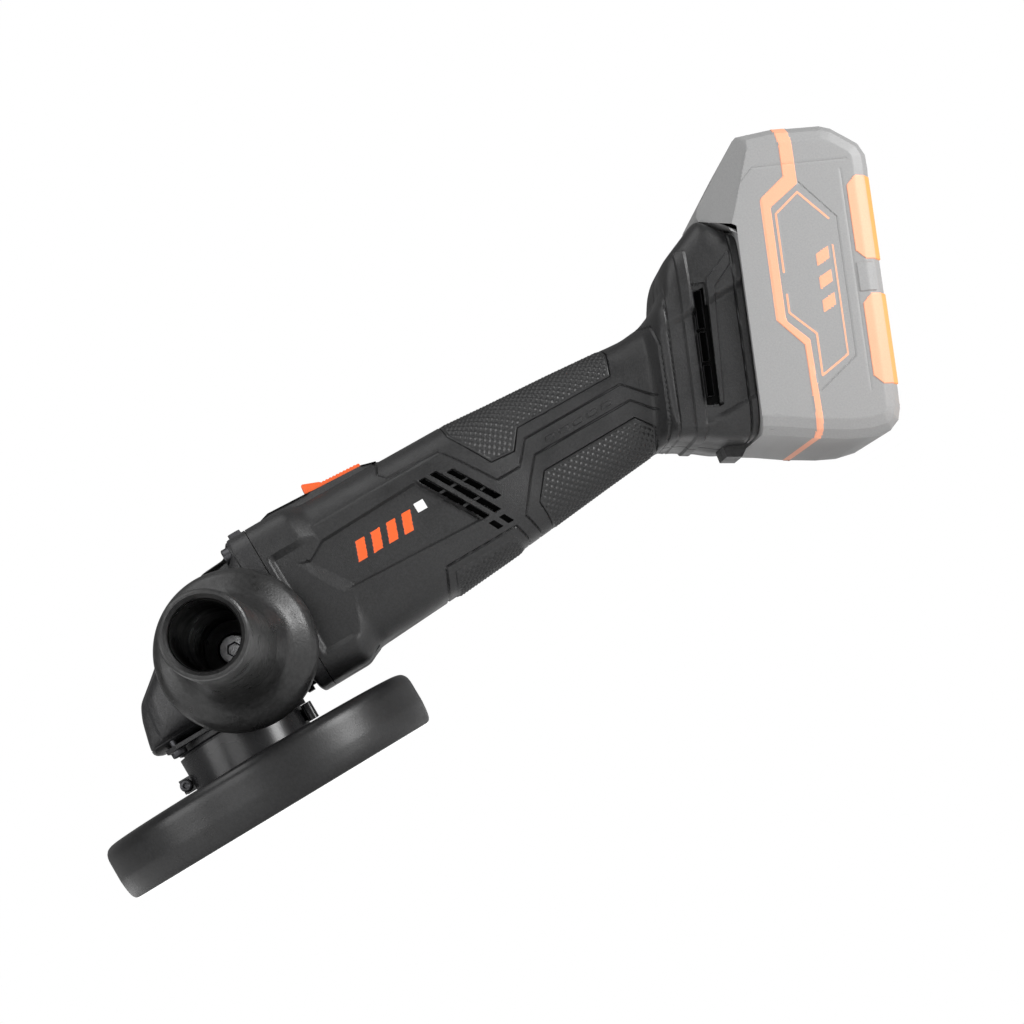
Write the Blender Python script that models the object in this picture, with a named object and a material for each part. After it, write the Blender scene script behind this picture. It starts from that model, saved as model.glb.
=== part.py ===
"""Cordless angle grinder with a rear battery, as an assembly of separate solids.

Every number is in millimetres and is scaled to metres when an object is made. The origin is the
centre of the spindle's lower end face, +X runs from the spindle towards the battery, +Z runs up the
spindle, and the side handle points along -Y.
"""

import math

import bmesh
import bpy
from mathutils import Matrix, Vector

MM = 0.001

# Driving dimensions
SPLIT = 0.15            # each housing half stops this far from the parting plane
INNER_FACE = 0.2        # ribs and bosses stop a little further back than the half's own edge
GAP = 0.3               # clearance between pieces that touch
MOTOR_Z = 67.0          # height of the motor axis
GRIP_LAYER = 1.9        # depth of the recess that holds the grip pads

DISC_RADIUS = 62.5      # 125 mm disc
DISC_BORE = 11.3
THREAD_RADIUS = 6.9     # M14 spindle thread
SHAFT_RADIUS = 6.0
NECK_RADIUS = 24.0      # spindle neck that the guard clamps on
BAND_RADIUS = 26.0
GUARD_ARC = (190.0, 372.0)    # degrees about the spindle that the guard covers
GUARD_CORNER = 6.0      # radius of the lower corner at each end of the guard
GUARD_TOP = 22.0
GUARD_RIM = -1.5
LEVER_PIVOT = (28.3, -6.2)

PINION_TEETH = 8
CROWN_TEETH = 28
GEAR_FACE = (13.5, 21.5)    # distance of the teeth's two ends from the other gear's axis

HANDLE_X, HANDLE_Z = 17.5, 59.6
HANDLE_END, HANDLE_SEAT = -163.0, -35.5
BOSS_FACE = 35.0

SEAT_X, SEAT_Z = 258.0, 61.5    # origin of the battery seat's own frame
SEAT_TILT = math.radians(24.2)
NECK_END, FOOT_START = -45.0, -36.0     # where the grip's round neck ends and the flat foot begins
BATTERY_HALF_WIDTH = 37.5

# Outline of the housing: top x, top z, bottom x, bottom z, half width, squareness of the section
HOUSING_FRONT = [
    (43.0, 101.3, 43.0, 31.0, 33.0, 5.5),
    (59.0, 101.3, 59.0, 31.0, 33.0, 5.5),
    (66.0, 99.6, 66.0, 34.3, 30.5, 3.6),
    (98.0, 98.8, 98.0, 36.0, 29.5, 3.6),
    (131.0, 98.5, 131.0, 38.3, 27.0, 3.2),
    (138.5, 98.0, 138.5, 38.9, 26.0, 3.0),
]
HOUSING_GRIP = [
    (140.0, 97.9, 140.0, 39.0, 25.5, 3.0),
    (152.0, 97.0, 152.0, 40.0, 23.5, 2.8),
    (180.0, 95.0, 180.0, 42.6, 22.0, 2.7),
    (204.0, 92.8, 203.0, 44.5, 21.5, 2.7),
]
HOUSING_FOOT = [
    (206.5, 92.4, 204.5, 44.8, 21.5, 2.7),
    (214.0, 91.7, 208.0, 44.7, 22.0, 2.8),
    (223.5, 92.6, 213.0, 42.3, 24.0, 2.6),
    (232.0, 95.6, 218.0, 39.1, 27.0, 2.5),
    (236.0, 99.8, 221.5, 36.9, 29.5, 2.6),
    (239.5, 105.2, 224.0, 34.8, 31.5, 3.2),
    (243.5, 109.2, 227.0, 32.5, 33.0, 5.0),
    (263.0, 117.2, 234.2, 28.8, 33.5, 6.5),
    (272.2, 104.4, 237.8, 28.4, 33.5, 6.5),
]
# Inside of the housing: the same columns
MOTOR_ROOM = [
    (42.0, 96.5, 42.0, 37.5, 29.5, 2.1),
    (60.0, 96.5, 60.0, 37.5, 29.0, 2.1),
    (67.0, 96.8, 67.0, 37.3, 27.8, 3.0),
    (131.0, 95.9, 131.0, 40.9, 24.4, 3.0),
    (138.5, 94.0, 138.5, 43.0, 21.8, 2.8),
    (180.0, 90.8, 180.0, 46.8, 17.8, 2.6),
    (204.0, 88.6, 203.0, 48.8, 17.3, 2.6),
    (223.0, 89.6, 213.0, 45.2, 20.0, 3.0),
    (236.5, 96.0, 222.5, 40.0, 25.0, 3.6),
    (250.0, 107.8, 229.5, 35.0, 29.5, 4.0),
]
# Gear case: the same columns
GEAR_CASE = [
    (-28.5, 59.5, -32.6, 43.0, 17.0, 4.0),
    (-26.3, 63.5, -31.8, 42.0, 22.0, 4.0),
    (-19.0, 69.0, -22.0, 42.0, 28.0, 4.0),
    (-6.0, 80.0, -8.0, 42.0, 31.0, 4.0),
    (8.0, 91.0, 6.0, 42.0, 32.0, 4.0),
    (20.0, 95.3, 20.0, 42.0, 32.0, 4.0),
    (30.0, 96.0, 31.0, 42.0, 32.0, 4.0),
    (34.0, 101.0, 36.5, 36.0, 32.8, 5.0),
    (35.5, 101.3, 37.0, 31.0, 33.0, 5.5),
    (42.7, 101.3, 42.7, 31.0, 33.0, 5.5),
]

# Guard sheet: radius and height, in pairs from the neck out to the lip
GUARD_OUTER = [
    (24.5, GUARD_TOP), (34.0, GUARD_TOP), (38.0, 21.4), (65.2, 21.2), (67.4, 20.4), (68.6, 18.6),
    (69.0, 16.5), (69.0, 7.0), (68.6, 3.0), (68.2, 0.9), (67.6, -1.0), (66.5, GUARD_RIM), (64.5, GUARD_RIM),
]
GUARD_INNER = [
    (24.5, 20.2), (33.6, 20.2), (37.8, 19.6), (65.0, 19.4), (66.2, 18.9), (66.9, 17.8),
    (67.2, 16.3), (67.2, 7.0), (66.8, 3.2), (66.4, 1.5), (65.9, 0.6), (65.3, 0.3), (64.5, 0.3),
]
# Outline of the battery's side, b and a in the seat's frame
BATTERY_OUTLINE = [
    (-4.2, 45.0), (-16.3, 51.8), (-16.9, 54.0), (-16.0, 58.0), (0.0, 81.5), (1.3, 82.6), (15.0, 84.2),
    (36.0, 83.8), (40.5, 82.3), (50.7, 75.0), (53.2, 70.0), (53.4, 64.0), (52.8, 55.0), (52.8, -28.0),
    (52.6, -34.5), (51.3, -39.3), (47.5, -43.2), (39.0, -44.8), (30.0, -44.5), (16.0, -42.7),
    (4.0, -40.4), (-4.2, -39.3),
]
SHOULDER_EDGE = ((-6.2, 46.0), (5.3, 80.0))      # two points of the line where the sides start to narrow
SHOULDER_SLOPE = 1.197                           # how much narrower, per mm past that line
LATCH_PLACE = (-8.5, 69.0)                       # middle of the latch button, in the seat's frame
LATCH_TURN = math.atan2(21.3, 14.5)              # slope of the battery's top end

FLANGE_SCREWS = [(side * 26.0, z) for side in (-1, 1) for z in (38.2, 94.0)]    # y, z
COVER_SCREWS = [(x, y) for x in (-22.5, 22.5) for y in (-21.0, 21.0)]            # x, y
HOUSING_SCREWS = [(62.3, 37.4), (128.5, 45.5), (156.5, 83.5), (209.0, 84.0), (209.5, 50.5)]  # x, z

COLOURS = {
    "housing_plastic": ((0.022, 0.022, 0.023), 0.55, 0.0),
    "grip_rubber": ((0.03, 0.03, 0.031), 0.75, 0.0),
    "gear_case_metal": ((0.03, 0.03, 0.032), 0.5, 0.3),
    "guard_steel": ((0.03, 0.03, 0.03), 0.4, 0.4),
    "handle_rubber": ((0.04, 0.04, 0.04), 0.7, 0.0),
    "switch_plastic": ((0.9, 0.16, 0.03), 0.45, 0.0),
    "battery_plastic": ((0.36, 0.36, 0.36), 0.5, 0.0),
    "battery_accent": ((0.95, 0.42, 0.28), 0.55, 0.0),
    "bright_steel": ((0.55, 0.55, 0.56), 0.3, 1.0),
    "dark_steel": ((0.08, 0.08, 0.085), 0.4, 0.9),
    "aluminium": ((0.6, 0.6, 0.61), 0.4, 1.0),
    "disc_abrasive": ((0.1, 0.085, 0.07), 0.95, 0.0),
    "copper": ((0.7, 0.3, 0.15), 0.35, 0.9),
    "board": ((0.02, 0.12, 0.06), 0.5, 0.0),
    "inner_plastic": ((0.07, 0.07, 0.08), 0.6, 0.0),
    "lead_red": ((0.5, 0.02, 0.02), 0.5, 0.0),
    "lead_black": ((0.01, 0.01, 0.01), 0.5, 0.0),
    "cell_wrap": ((0.1, 0.25, 0.5), 0.45, 0.0),
}


# ---------------------------------------------------------------- frames and sections

def seat(b, a):
    """x and z of a point b outwards from the battery seat and a up along it."""
    x = SEAT_X + b * math.cos(SEAT_TILT) + a * math.sin(SEAT_TILT)
    z = SEAT_Z - b * math.sin(SEAT_TILT) + a * math.cos(SEAT_TILT)
    return x, z


def signed_power(value, power):
    return math.copysign(abs(value) ** power, value)


def flattened(x, z, squareness, half_width):
    """Squareness and half width at a place on the housing: the foot turns flat-sided past the neck."""
    b = (x - SEAT_X) * math.cos(SEAT_TILT) - (z - SEAT_Z) * math.sin(SEAT_TILT)
    share = min(max((b - NECK_END) / (FOOT_START - NECK_END), 0.0), 1.0)
    share = share * share * (3 - 2 * share)
    reach = min(max((b - FOOT_START) / (-4.5 - FOOT_START), 0.0), 1.0)
    flat_width = 32.0 + 3.5 * reach
    return squareness + (6.5 - squareness) * share, half_width + (flat_width - half_width) * share


def section(station, shrink=0.0, turn=(0.0, 2 * math.pi), count=20, foot=False):
    """Points of one cross-section, from the top round by +Y, on the slanted plane of its station."""
    top_x, top_z, bottom_x, bottom_z, half_width, squareness = station
    top, bottom = Vector((top_x, 0.0, top_z)), Vector((bottom_x, 0.0, bottom_z))
    middle, half = (top + bottom) / 2, (top - bottom) / 2
    half *= (half.length - shrink) / half.length
    points = []
    for step in range(count):
        angle = turn[0] + (turn[1] - turn[0]) * step / (count if turn[1] > 6.2 else count - 1)
        along = signed_power(math.cos(angle), 2 / squareness)
        across = signed_power(math.sin(angle), 2 / squareness)
        wide = half_width
        if foot:
            place = middle + half * along
            square, wide = flattened(place.x, place.z, squareness, half_width)
            size = (abs(along) ** square + abs(across) ** square) ** (-1 / square)
            along, across = along * size, across * size
        points.append(middle + half * along + Vector((0.0, across * (wide - shrink), 0.0)))
    return points


def half_section(station, side, shrink=0.0, start=SPLIT, span=(0.0, math.pi), count=11, foot=False):
    """One side's points, from top to bottom, that begin at y = side * start."""
    points = []
    for point in section(station, shrink, span, count, foot):
        points.append(Vector((point.x, side * max(point.y, start), point.z)))
    return points


# ---------------------------------------------------------------- solids, as bmesh in millimetres

def new_mesh(verts, faces):
    mesh = bmesh.new()
    made = [mesh.verts.new(vert) for vert in verts]
    for face in faces:
        mesh.faces.new([made[index] for index in face])
    bmesh.ops.recalc_face_normals(mesh, faces=mesh.faces)
    return mesh


def loft(rings):
    """Closed solid through rings that have the same number of points."""
    count = len(rings[0])
    verts = [point for ring in rings for point in ring]
    faces = [list(range(count))[::-1], [len(verts) - count + i for i in range(count)]]
    for row in range(len(rings) - 1):
        for i in range(count):
            j = (i + 1) % count
            low, high = row * count, (row + 1) * count
            faces.append([low + i, low + j, high + j, high + i])
    return new_mesh(verts, faces)


def prism(outline, low, high, axis="Z"):
    """Extruded outline. The outline is in X,Y for axis Z, in X,Z for axis Y and in Y,Z for axis X."""
    place = {
        "X": lambda u, v, w: (w, u, v),
        "Y": lambda u, v, w: (u, w, v),
        "Z": lambda u, v, w: (u, v, w),
    }[axis]
    return loft([[place(u, v, w) for u, v in outline] for w in (low, high)])


def block(x, y, z):
    return prism([(x[0], y[0]), (x[1], y[0]), (x[1], y[1]), (x[0], y[1])], z[0], z[1])


def seat_block(b, a, y):
    corners = [seat(b[0], a[0]), seat(b[1], a[0]), seat(b[1], a[1]), seat(b[0], a[1])]
    return prism(corners, y[0], y[1], axis="Y")


def circle(radius, steps, centre=(0.0, 0.0), start=0.0):
    return [
        (centre[0] + radius * math.cos(start + 2 * math.pi * i / steps),
         centre[1] + radius * math.sin(start + 2 * math.pi * i / steps))
        for i in range(steps)
    ]


def cylinder(radius, low, high, axis="Z", centre=(0.0, 0.0), steps=16):
    return prism(circle(radius, steps, centre), low, high, axis)


def turned(profile, axis="Z", centre=(0.0, 0.0), steps=24):
    """Solid of revolution from a closed profile of (radius, height), which may touch the axis."""
    place = {
        "X": lambda u, v, h: (h, centre[0] + u, centre[1] + v),
        "Y": lambda u, v, h: (centre[0] + u, h, centre[1] + v),
        "Z": lambda u, v, h: (centre[0] + u, centre[1] + v, h),
    }[axis]
    verts, rows = [], []
    for radius, height in profile:
        if radius == 0:
            rows.append([len(verts)] * steps)
            verts.append(place(0.0, 0.0, height))
        else:
            rows.append([len(verts) + i for i in range(steps)])
            verts.extend(place(u, v, height) for u, v in circle(radius, steps))
    faces = []
    for here, there in zip(rows, rows[1:] + rows[:1]):
        for i in range(steps):
            j = (i + 1) % steps
            corners = [here[i], here[j], there[j], there[i]]
            face = [c for k, c in enumerate(corners) if c not in corners[:k]]
            if len(face) > 2:
                faces.append(face)
    return new_mesh(verts, faces)


def partly_turned(profile, start, end, steps):
    """Solid of revolution about Z through part of a turn, with flat ends."""
    rings = []
    for step in range(steps + 1):
        angle = math.radians(start + (end - start) * step / steps)
        rings.append([(r * math.cos(angle), r * math.sin(angle), z) for r, z in profile])
    return loft(rings)


def merged(meshes):
    """Several closed meshes in one, for a cutter with many parts."""
    whole = bmesh.new()
    for mesh in meshes:
        scratch = bpy.data.meshes.new("scratch")
        mesh.to_mesh(scratch)
        whole.from_mesh(scratch)
        mesh.free()
        bpy.data.meshes.remove(scratch)
    return whole


# ---------------------------------------------------------------- objects

bodies = {}
slots = {}


def clear_scene():
    for obj in list(bpy.data.objects):
        bpy.data.objects.remove(obj, do_unlink=True)


def material(slot):
    if slot not in slots:
        colour, roughness, metallic = COLOURS[slot]
        made = bpy.data.materials.new(slot)
        made.use_nodes = True
        shader = made.node_tree.nodes["Principled BSDF"]
        shader.inputs["Base Color"].default_value = (*colour, 1.0)
        shader.inputs["Roughness"].default_value = roughness
        shader.inputs["Metallic"].default_value = metallic
        slots[slot] = made
    return slots[slot]


def body(name, pivot):
    """Empty on a body's joint axis, which carries the body's pieces."""
    empty = bpy.data.objects.new(name + "_axis", None)
    empty.location = Vector(pivot) * MM
    bpy.context.scene.collection.objects.link(empty)
    bodies[name] = empty


def add(name, mesh, slot, body_name="tool", smooth=True):
    """Object of a mesh in millimetres, parented to its body's empty."""
    parent = bodies[body_name]
    data = bpy.data.meshes.new(name)
    mesh.to_mesh(data)
    mesh.free()
    data.transform(Matrix.Translation(-parent.location) @ Matrix.Scale(MM, 4))
    data.materials.append(material(slot))
    if smooth:
        data.shade_smooth()
        data.set_sharp_from_angle(angle=math.radians(35))
    obj = bpy.data.objects.new(name, data)
    bpy.context.scene.collection.objects.link(obj)
    obj.parent = parent
    return obj


def boolean(obj, mesh, operation="DIFFERENCE"):
    """Cuts a mesh from an object, or joins it on. The operand stays in the scene as a hidden guide."""
    helper = add(obj.name + "_" + operation.lower(), mesh, "inner_plastic", "tool", smooth=False)
    helper.hide_render = True
    helper.display_type = "WIRE"
    modifier = obj.modifiers.new(operation.title(), "BOOLEAN")
    modifier.operation = operation
    modifier.object = helper
    modifier.solver = "EXACT"


def join(obj, mesh):
    boolean(obj, mesh, "UNION")


def countersunk_screw(name, axis, place, head, shank, slot, body_name="tool"):
    """Screw along an axis: place is where its axis lies, head and shank are (radius, from, to)."""
    head_radius, head_low, head_high = head
    shank_radius, shank_end = shank
    inward = 1 if shank_end > head_high else -1
    seat_at = head_high if inward > 0 else head_low
    outer = head_low if inward > 0 else head_high
    socket = outer + inward * 1.4
    profile = [
        (0.0, socket), (head_radius * 0.45, socket), (head_radius * 0.45, outer),
        (head_radius * 0.8, outer), (head_radius, outer + inward * 0.5), (head_radius, seat_at),
        (shank_radius, seat_at), (shank_radius, shank_end), (0.0, shank_end),
    ]
    add(name, turned(profile, axis, place, 8), slot, body_name)


# ---------------------------------------------------------------- gear head

def gear_case():
    case = add("gear_case", loft([section(s) for s in GEAR_CASE]), "gear_case_metal")
    join(case, cylinder(12.0, -BOSS_FACE, BOSS_FACE, "Y", (HANDLE_X, HANDLE_Z), 24))
    gear_room = [
        (0, 38), (24.0, 38), (24.0, 62), (13.0, 70), (7.3, 70), (7.3, 77), (0, 77),
    ]
    motor_room = [
        (0, 10), (8.2, 10), (8.2, 23.8), (11.3, 23.8), (11.3, 33), (24.0, 33), (24.0, 44), (0, 44),
    ]
    handle_hole = [(4.4, 20.5), (4.4, 37.0)]
    boolean(case, turned(gear_room, "Z", (0, 0), 20))
    boolean(case, turned(motor_room, "X", (0, MOTOR_Z), 20))
    for side in (-1, 1):
        low, high = sorted(side * depth for _, depth in handle_hole)
        boolean(case, cylinder(handle_hole[0][0], low, high, "Y", (HANDLE_X, HANDLE_Z), 16))
    for place in FLANGE_SCREWS:
        steps = [(0, 20), (4.4, 20), (4.4, 34.2), (2.3, 34.2), (2.3, 44), (0, 44)]
        boolean(case, turned(steps, "X", place, 8))
    for place in COVER_SCREWS:
        boolean(case, cylinder(1.9, 40, 52, "Z", place, 8))
    pocket = [(35.2, -7.3), (41.3, -7.3), (41.3, 7.3), (35.2, 7.3)]
    boolean(case, prism(pocket, 92.6, 103))
    boolean(case, cylinder(2.2, 88, 94, "Z", (38.25, 0), 12))


def bearing_cover():
    profile = [
        (13.0, 21.5), (NECK_RADIUS, 21.5), (NECK_RADIUS, 36.9), (25.6, 37.4), (25.6, 41.7),
        (16.3, 41.7), (16.3, 24.6), (13.0, 24.6),
    ]
    cover = add("bearing_cover", turned(profile, steps=24), "gear_case_metal")
    reach_x, reach_y, corner = 27.0, 26.0, 5.0
    outline = [
        (-reach_x + corner, -reach_y), (reach_x - corner, -reach_y), (reach_x, -reach_y + corner),
        (reach_x, reach_y - corner), (reach_x - corner, reach_y), (-reach_x + corner, reach_y),
        (-reach_x, reach_y - corner), (-reach_x, -reach_y + corner),
    ]
    join(cover, prism(outline, 39.7, 41.5))
    boolean(cover, cylinder(16.3, 30, 45, steps=24))
    for place in COVER_SCREWS:
        boolean(cover, cylinder(1.9, 38, 43, "Z", place, 8))


def head_screws():
    for number, place in enumerate(COVER_SCREWS, 1):
        countersunk_screw(
            f"cover_screw_{number}", "Z", place, (3.2, 37.0, 39.4), (1.5, 51.0), "dark_steel")
    for number, place in enumerate(FLANGE_SCREWS, 1):
        countersunk_screw(
            f"flange_screw_{number}", "X", place, (3.8, 30.6, 33.9), (1.9, 57.0), "dark_steel")


def bearing(name, axis, centre, low, high, bore, radius, slot="bright_steel"):
    groove = (radius - bore) * 0.3
    middle = [(radius - groove, high), (radius - groove, high - 0.5),
              (bore + groove, high - 0.5), (bore + groove, high)]
    profile = [(bore, low), (radius, low), (radius, high)] + middle + [(bore, high)]
    add(name, turned(profile, axis, centre, 16), slot)


# ---------------------------------------------------------------- spindle and disc

def spindle_parts():
    shaft = [
        (0, 0), (6.2, 0), (THREAD_RADIUS, 0.8), (THREAD_RADIUS, 21.2), (9.5, 21.2), (9.5, 24.2),
        (SHAFT_RADIUS, 24.2), (SHAFT_RADIUS, 66), (5.0, 66.6), (5.0, 76.2), (0, 76.2),
    ]
    add("spindle", turned(shaft, steps=16), "bright_steel", "spindle")
    flange = [
        (7.2, 11.9), (DISC_BORE - GAP, 11.9), (DISC_BORE - GAP, 14.5), (20.0, 14.5),
        (21.0, 15.2), (21.0, 18.4), (13.0, 20.9), (7.2, 20.9),
    ]
    add("inner_flange", turned(flange, steps=20), "dark_steel", "spindle")
    disc = [(DISC_BORE, 11.7), (DISC_RADIUS, 11.7), (DISC_RADIUS, 14.2), (DISC_BORE, 14.2)]
    add("cutting_disc", turned(disc, steps=36), "disc_abrasive", "spindle")
    nut = [(7.2, 3.6), (12.0, 3.6), (13.5, 5.2), (19.8, 5.8), (20.5, 6.8), (20.5, 11.4), (7.2, 11.4)]
    lock_nut = add("lock_nut", turned(nut, steps=20), "dark_steel", "spindle")
    for angle in range(0, 360, 90):
        x, y = 16.4 * math.cos(math.radians(angle)), 16.4 * math.sin(math.radians(angle))
        boolean(lock_nut, cylinder(2.3, 2.0, 9.6, "Z", (x, y), 8))


def gear_radius(distance, teeth, other_teeth, share):
    """Radius of a bevel gear's tooth at a distance from the apex, share of that distance off pitch."""
    return distance * (teeth / other_teeth + share)


def crown_gear():
    """Bevel ring gear with its teeth up, in mesh with the pinion at +X: a gap lies at +X."""
    inner, outer = GEAR_FACE
    rings = []
    for step in range(2 * CROWN_TEETH):
        share = 0.035 if step % 2 else -0.078
        angle = math.pi * step / CROWN_TEETH
        tooth_z = [MOTOR_Z - r * (PINION_TEETH / CROWN_TEETH - share) for r in (outer, inner)]
        profile = [(6.3, 53.0), (outer, 53.0), (outer, tooth_z[0]), (inner, tooth_z[1]),
                   (10.5, 60.5), (6.3, 60.5)]
        rings.append([(r * math.cos(angle), r * math.sin(angle), z) for r, z in profile])
    add("crown_gear", wrapped(rings), "dark_steel", "spindle", smooth=False)


def wrapped(rings):
    """Closed solid whose rings go all the way round and meet again."""
    count, total = len(rings[0]), len(rings)
    verts = [point for ring in rings for point in ring]
    faces = []
    for row in range(total):
        for i in range(count):
            j, following = (i + 1) % count, (row + 1) % total
            faces.append([row * count + i, row * count + j, following * count + j, following * count + i])
    return new_mesh(verts, faces)


# ---------------------------------------------------------------- motor

def bevel_pinion():
    """Conical pinion on the motor shaft. One tooth points straight down, into the crown gear's gap."""
    inner, outer = GEAR_FACE
    rings = []
    for step in range(2 * PINION_TEETH):
        share = -0.07 if step % 2 else 0.05
        angle = math.pi * step / PINION_TEETH - math.pi / 2
        profile = [(2.3, inner)]
        profile += [(gear_radius(x, PINION_TEETH, CROWN_TEETH, share), x) for x in (inner, outer)]
        profile += [(4.2, outer), (4.2, outer + 1.0), (2.3, outer + 1.0)]
        rings.append(
            [(x, r * math.cos(angle), MOTOR_Z + r * math.sin(angle)) for r, x in profile])
    add("bevel_pinion", wrapped(rings), "dark_steel", "rotor", smooth=False)


def rotor():
    shaft = [
        (0, 12.5), (2.0, 12.5), (2.0, 22.9), (4.0, 22.9), (4.0, 35.7), (9.0, 35.7), (9.0, 39.7),
        (4.0, 39.7), (4.0, 124.5), (0, 124.5),
    ]
    made = add("rotor_shaft", turned(shaft, "X", (0, MOTOR_Z), 16), "bright_steel", "rotor")
    for side in (-1, 1):
        notch_z = sorted((MOTOR_Z + side * 6.0, MOTOR_Z + side * 10.0))
        boolean(made, block((35, 41), (-2.4, 2.4), notch_z))
    core = [(4.3, 64), (11.2, 64), (11.2, 106), (4.3, 106)]
    add("rotor_magnets", turned(core, "X", (0, MOTOR_Z), 16), "dark_steel", "rotor")
    disc = [(4.3, 46), (9.0, 46), (9.0, 47.5), (24.5, 48.0), (24.5, 49.6), (9, 50.2), (8, 56), (4.3, 56)]
    fan = add("fan", turned(disc, "X", (0, MOTOR_Z), 18), "inner_plastic", "rotor")
    blades = []
    for number in range(9):
        angle = 2 * math.pi * number / 9
        blade = prism([(8.5, -0.6), (23.5, 2.4), (24.0, 3.6), (8.5, 0.8)], 49.0, 55.0, "X")
        bmesh.ops.rotate(blade, verts=blade.verts, matrix=Matrix.Rotation(angle, 3, "X"))
        bmesh.ops.translate(blade, verts=blade.verts, vec=(0, 0, MOTOR_Z))
        blades.append(blade)
    join(fan, merged(blades))


def stator():
    def ring(name, low, high, inner, outer, slot):
        profile = [(inner, low), (outer, low), (outer, high), (inner, high)]
        add(name, turned(profile, "X", (0, MOTOR_Z), 20), slot)

    ring("stator_core", 64.3, 105.7, 12.0, 24.3, "dark_steel")
    ring("front_winding", 58.0, 64.0, 13.0, 21.5, "copper")
    ring("rear_winding", 106.0, 112.0, 13.0, 21.5, "copper")
    ring("motor_bracket", 116.5, 123.5, 9.9, 23.8, "aluminium")
    ring("air_baffle", 43.3, 44.8, 11.0, 28.0, "inner_plastic")


# ---------------------------------------------------------------- housing

def housing_outline():
    rings = [(s, 0.0) for s in HOUSING_FRONT]
    rings += [(s, GRIP_LAYER) for s in HOUSING_GRIP]
    rings += [(s, 0.0) for s in HOUSING_FOOT]
    return rings


def switch_ridge(side):
    outline = [(46.5, 99.0), (48.0, 101.4), (54.0, 103.2), (71.0, 102.3), (96.0, 101.0),
               (102.0, 99.3), (102.0, 96.8), (60.0, 96.8)]
    low, high = sorted((side * INNER_FACE, side * 11.5))
    return prism(outline, low, high, "Y")


def foot_catch(side):
    corners = [seat(b, a) for b, a in ((-16.3, -34.5), (-16.3, -39.5), (-15.2, -43.6), (-9.0, -44.3),
                                       (-6.0, -39.6), (-6.0, -35.5))]
    low, high = sorted((side * INNER_FACE, side * 9.5))
    return prism(corners, low, high, "Y")


def vents(side):
    """Slanted side vents over the motor and along the foot."""
    cuts = []
    low, high = sorted((side * 12.0, side * 40.0))
    slots_xz = [
        ((111.6, 81.5), (126.2, 56.0)), ((116.8, 81.5), (131.4, 56.0)), ((123.0, 79.0), (134.4, 60.5)),
    ]
    for (top_x, top_z), (bottom_x, bottom_z) in slots_xz:
        outline = [(top_x, top_z), (bottom_x, bottom_z), (bottom_x + 2.6, bottom_z), (top_x + 2.6, top_z)]
        cuts.append(prism(outline, low, high, "Y"))
    for a_low, a_high in ((6.0, 21.5), (-7.5, 4.5), (-21.5, -9.0)):
        cuts.append(seat_block((-24.0, -21.2), (a_low, a_high), (low, high)))
    return merged(cuts)


def battery_channel():
    """T-shaped channel of the foot, open towards the top, that the battery's rails slide in."""
    wide = seat_block((-17.0, -9.1), (-34.0, 70.0), (-27.0, 27.0))
    narrow = seat_block((-9.6, 3.0), (-34.0, 70.0), (-22.4, 22.4))
    return wide, narrow


def housing_half(name, side):
    rings = [half_section(s, side, shrink, foot=True) for s, shrink in housing_outline()]
    half = add(name, loft(rings), "housing_plastic")
    join(half, switch_ridge(side))
    join(half, foot_catch(side))
    inside = loft([half_section(s, side, start=-1.0) for s in MOTOR_ROOM])
    boolean(half, inside)
    for place in HOUSING_SCREWS:
        low, high = sorted((side * INNER_FACE, side * 15.5))
        join(half, cylinder(4.6, low, high, "Y", place, 8))
    for cutter in battery_channel():
        boolean(half, cutter)
    boolean(half, vents(side))
    boolean(half, block((62.9, 92.5), (-4.37, 4.41), (88, 108)))
    for y, z in FLANGE_SCREWS:
        if y * side > 0:
            boolean(half, cylinder(2.3, 41, 58, "X", (y, z), 8))
    for place in HOUSING_SCREWS:
        if side > 0:
            profile = [(0, -2), (1.9, -2), (1.9, 12), (3.5, 12), (3.5, 40), (0, 40)]
        else:
            profile = [(0, -13), (1.9, -13), (1.9, 2), (0, 2)]
        boolean(half, turned(profile, "Y", place, 8))


def housing_screws():
    for number, place in enumerate(HOUSING_SCREWS, 1):
        countersunk_screw(
            f"housing_screw_{number}", "Y", place, (3.1, 12.3, 14.8), (1.5, -11.5), "dark_steel")


def grip_pad(name, side, first, last):
    """Soft pad that wraps part of one side of the grip, in the housing's recess."""
    rings = []
    for station in HOUSING_GRIP:
        span = (math.radians(first), math.radians(last))
        outer = half_section(station, side, 0.0, SPLIT, span, 7)
        inner = half_section(station, side, GRIP_LAYER - GAP, SPLIT, span, 7)
        rings.append(outer + inner[::-1])
    rings[0] = [point + Vector((0.3, 0, 0)) for point in rings[0]]
    rings[-1] = [point - Vector((0.3, 0, 0)) for point in rings[-1]]
    add(name, loft(rings), "grip_rubber")


# ---------------------------------------------------------------- electrical parts

def electrical_parts():
    switch = block((131.0, 149.0), (-8.0, 8.0), (78.0, 91.0))
    add("switch_module", switch, "inner_plastic", smooth=False)
    board = add("control_board", block((156.0, 200.0), (-13.0, 13.0), (60.0, 64.0)), "board", smooth=False)
    join(board, block((160.0, 178.0), (-8.0, 8.0), (63.0, 72.0)))
    terminal = add("terminal_block", seat_block((-16.7, -10.5), (-33.7, -27.0), (-16.0, 16.0)),
                   "inner_plastic", smooth=False)
    for y in (-12.0, -5.0, 5.0, 12.0):
        join(terminal, seat_block((-15.5, -12.0), (-29.0, -16.0), (y - 0.5, y + 0.5)))
    for name, y, slot in (("lead_red", 6.0, "lead_red"), ("lead_black", -6.0, "lead_black")):
        route = [Vector((200.5, y, 62.0)), Vector((207.0, y, 61.5)), Vector((216.0, y, 58.0)),
                 Vector((224.0, y, 52.0)), Vector((228.0, y, 47.0))]
        add(name, tube(route, 1.1, 8), slot)


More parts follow.
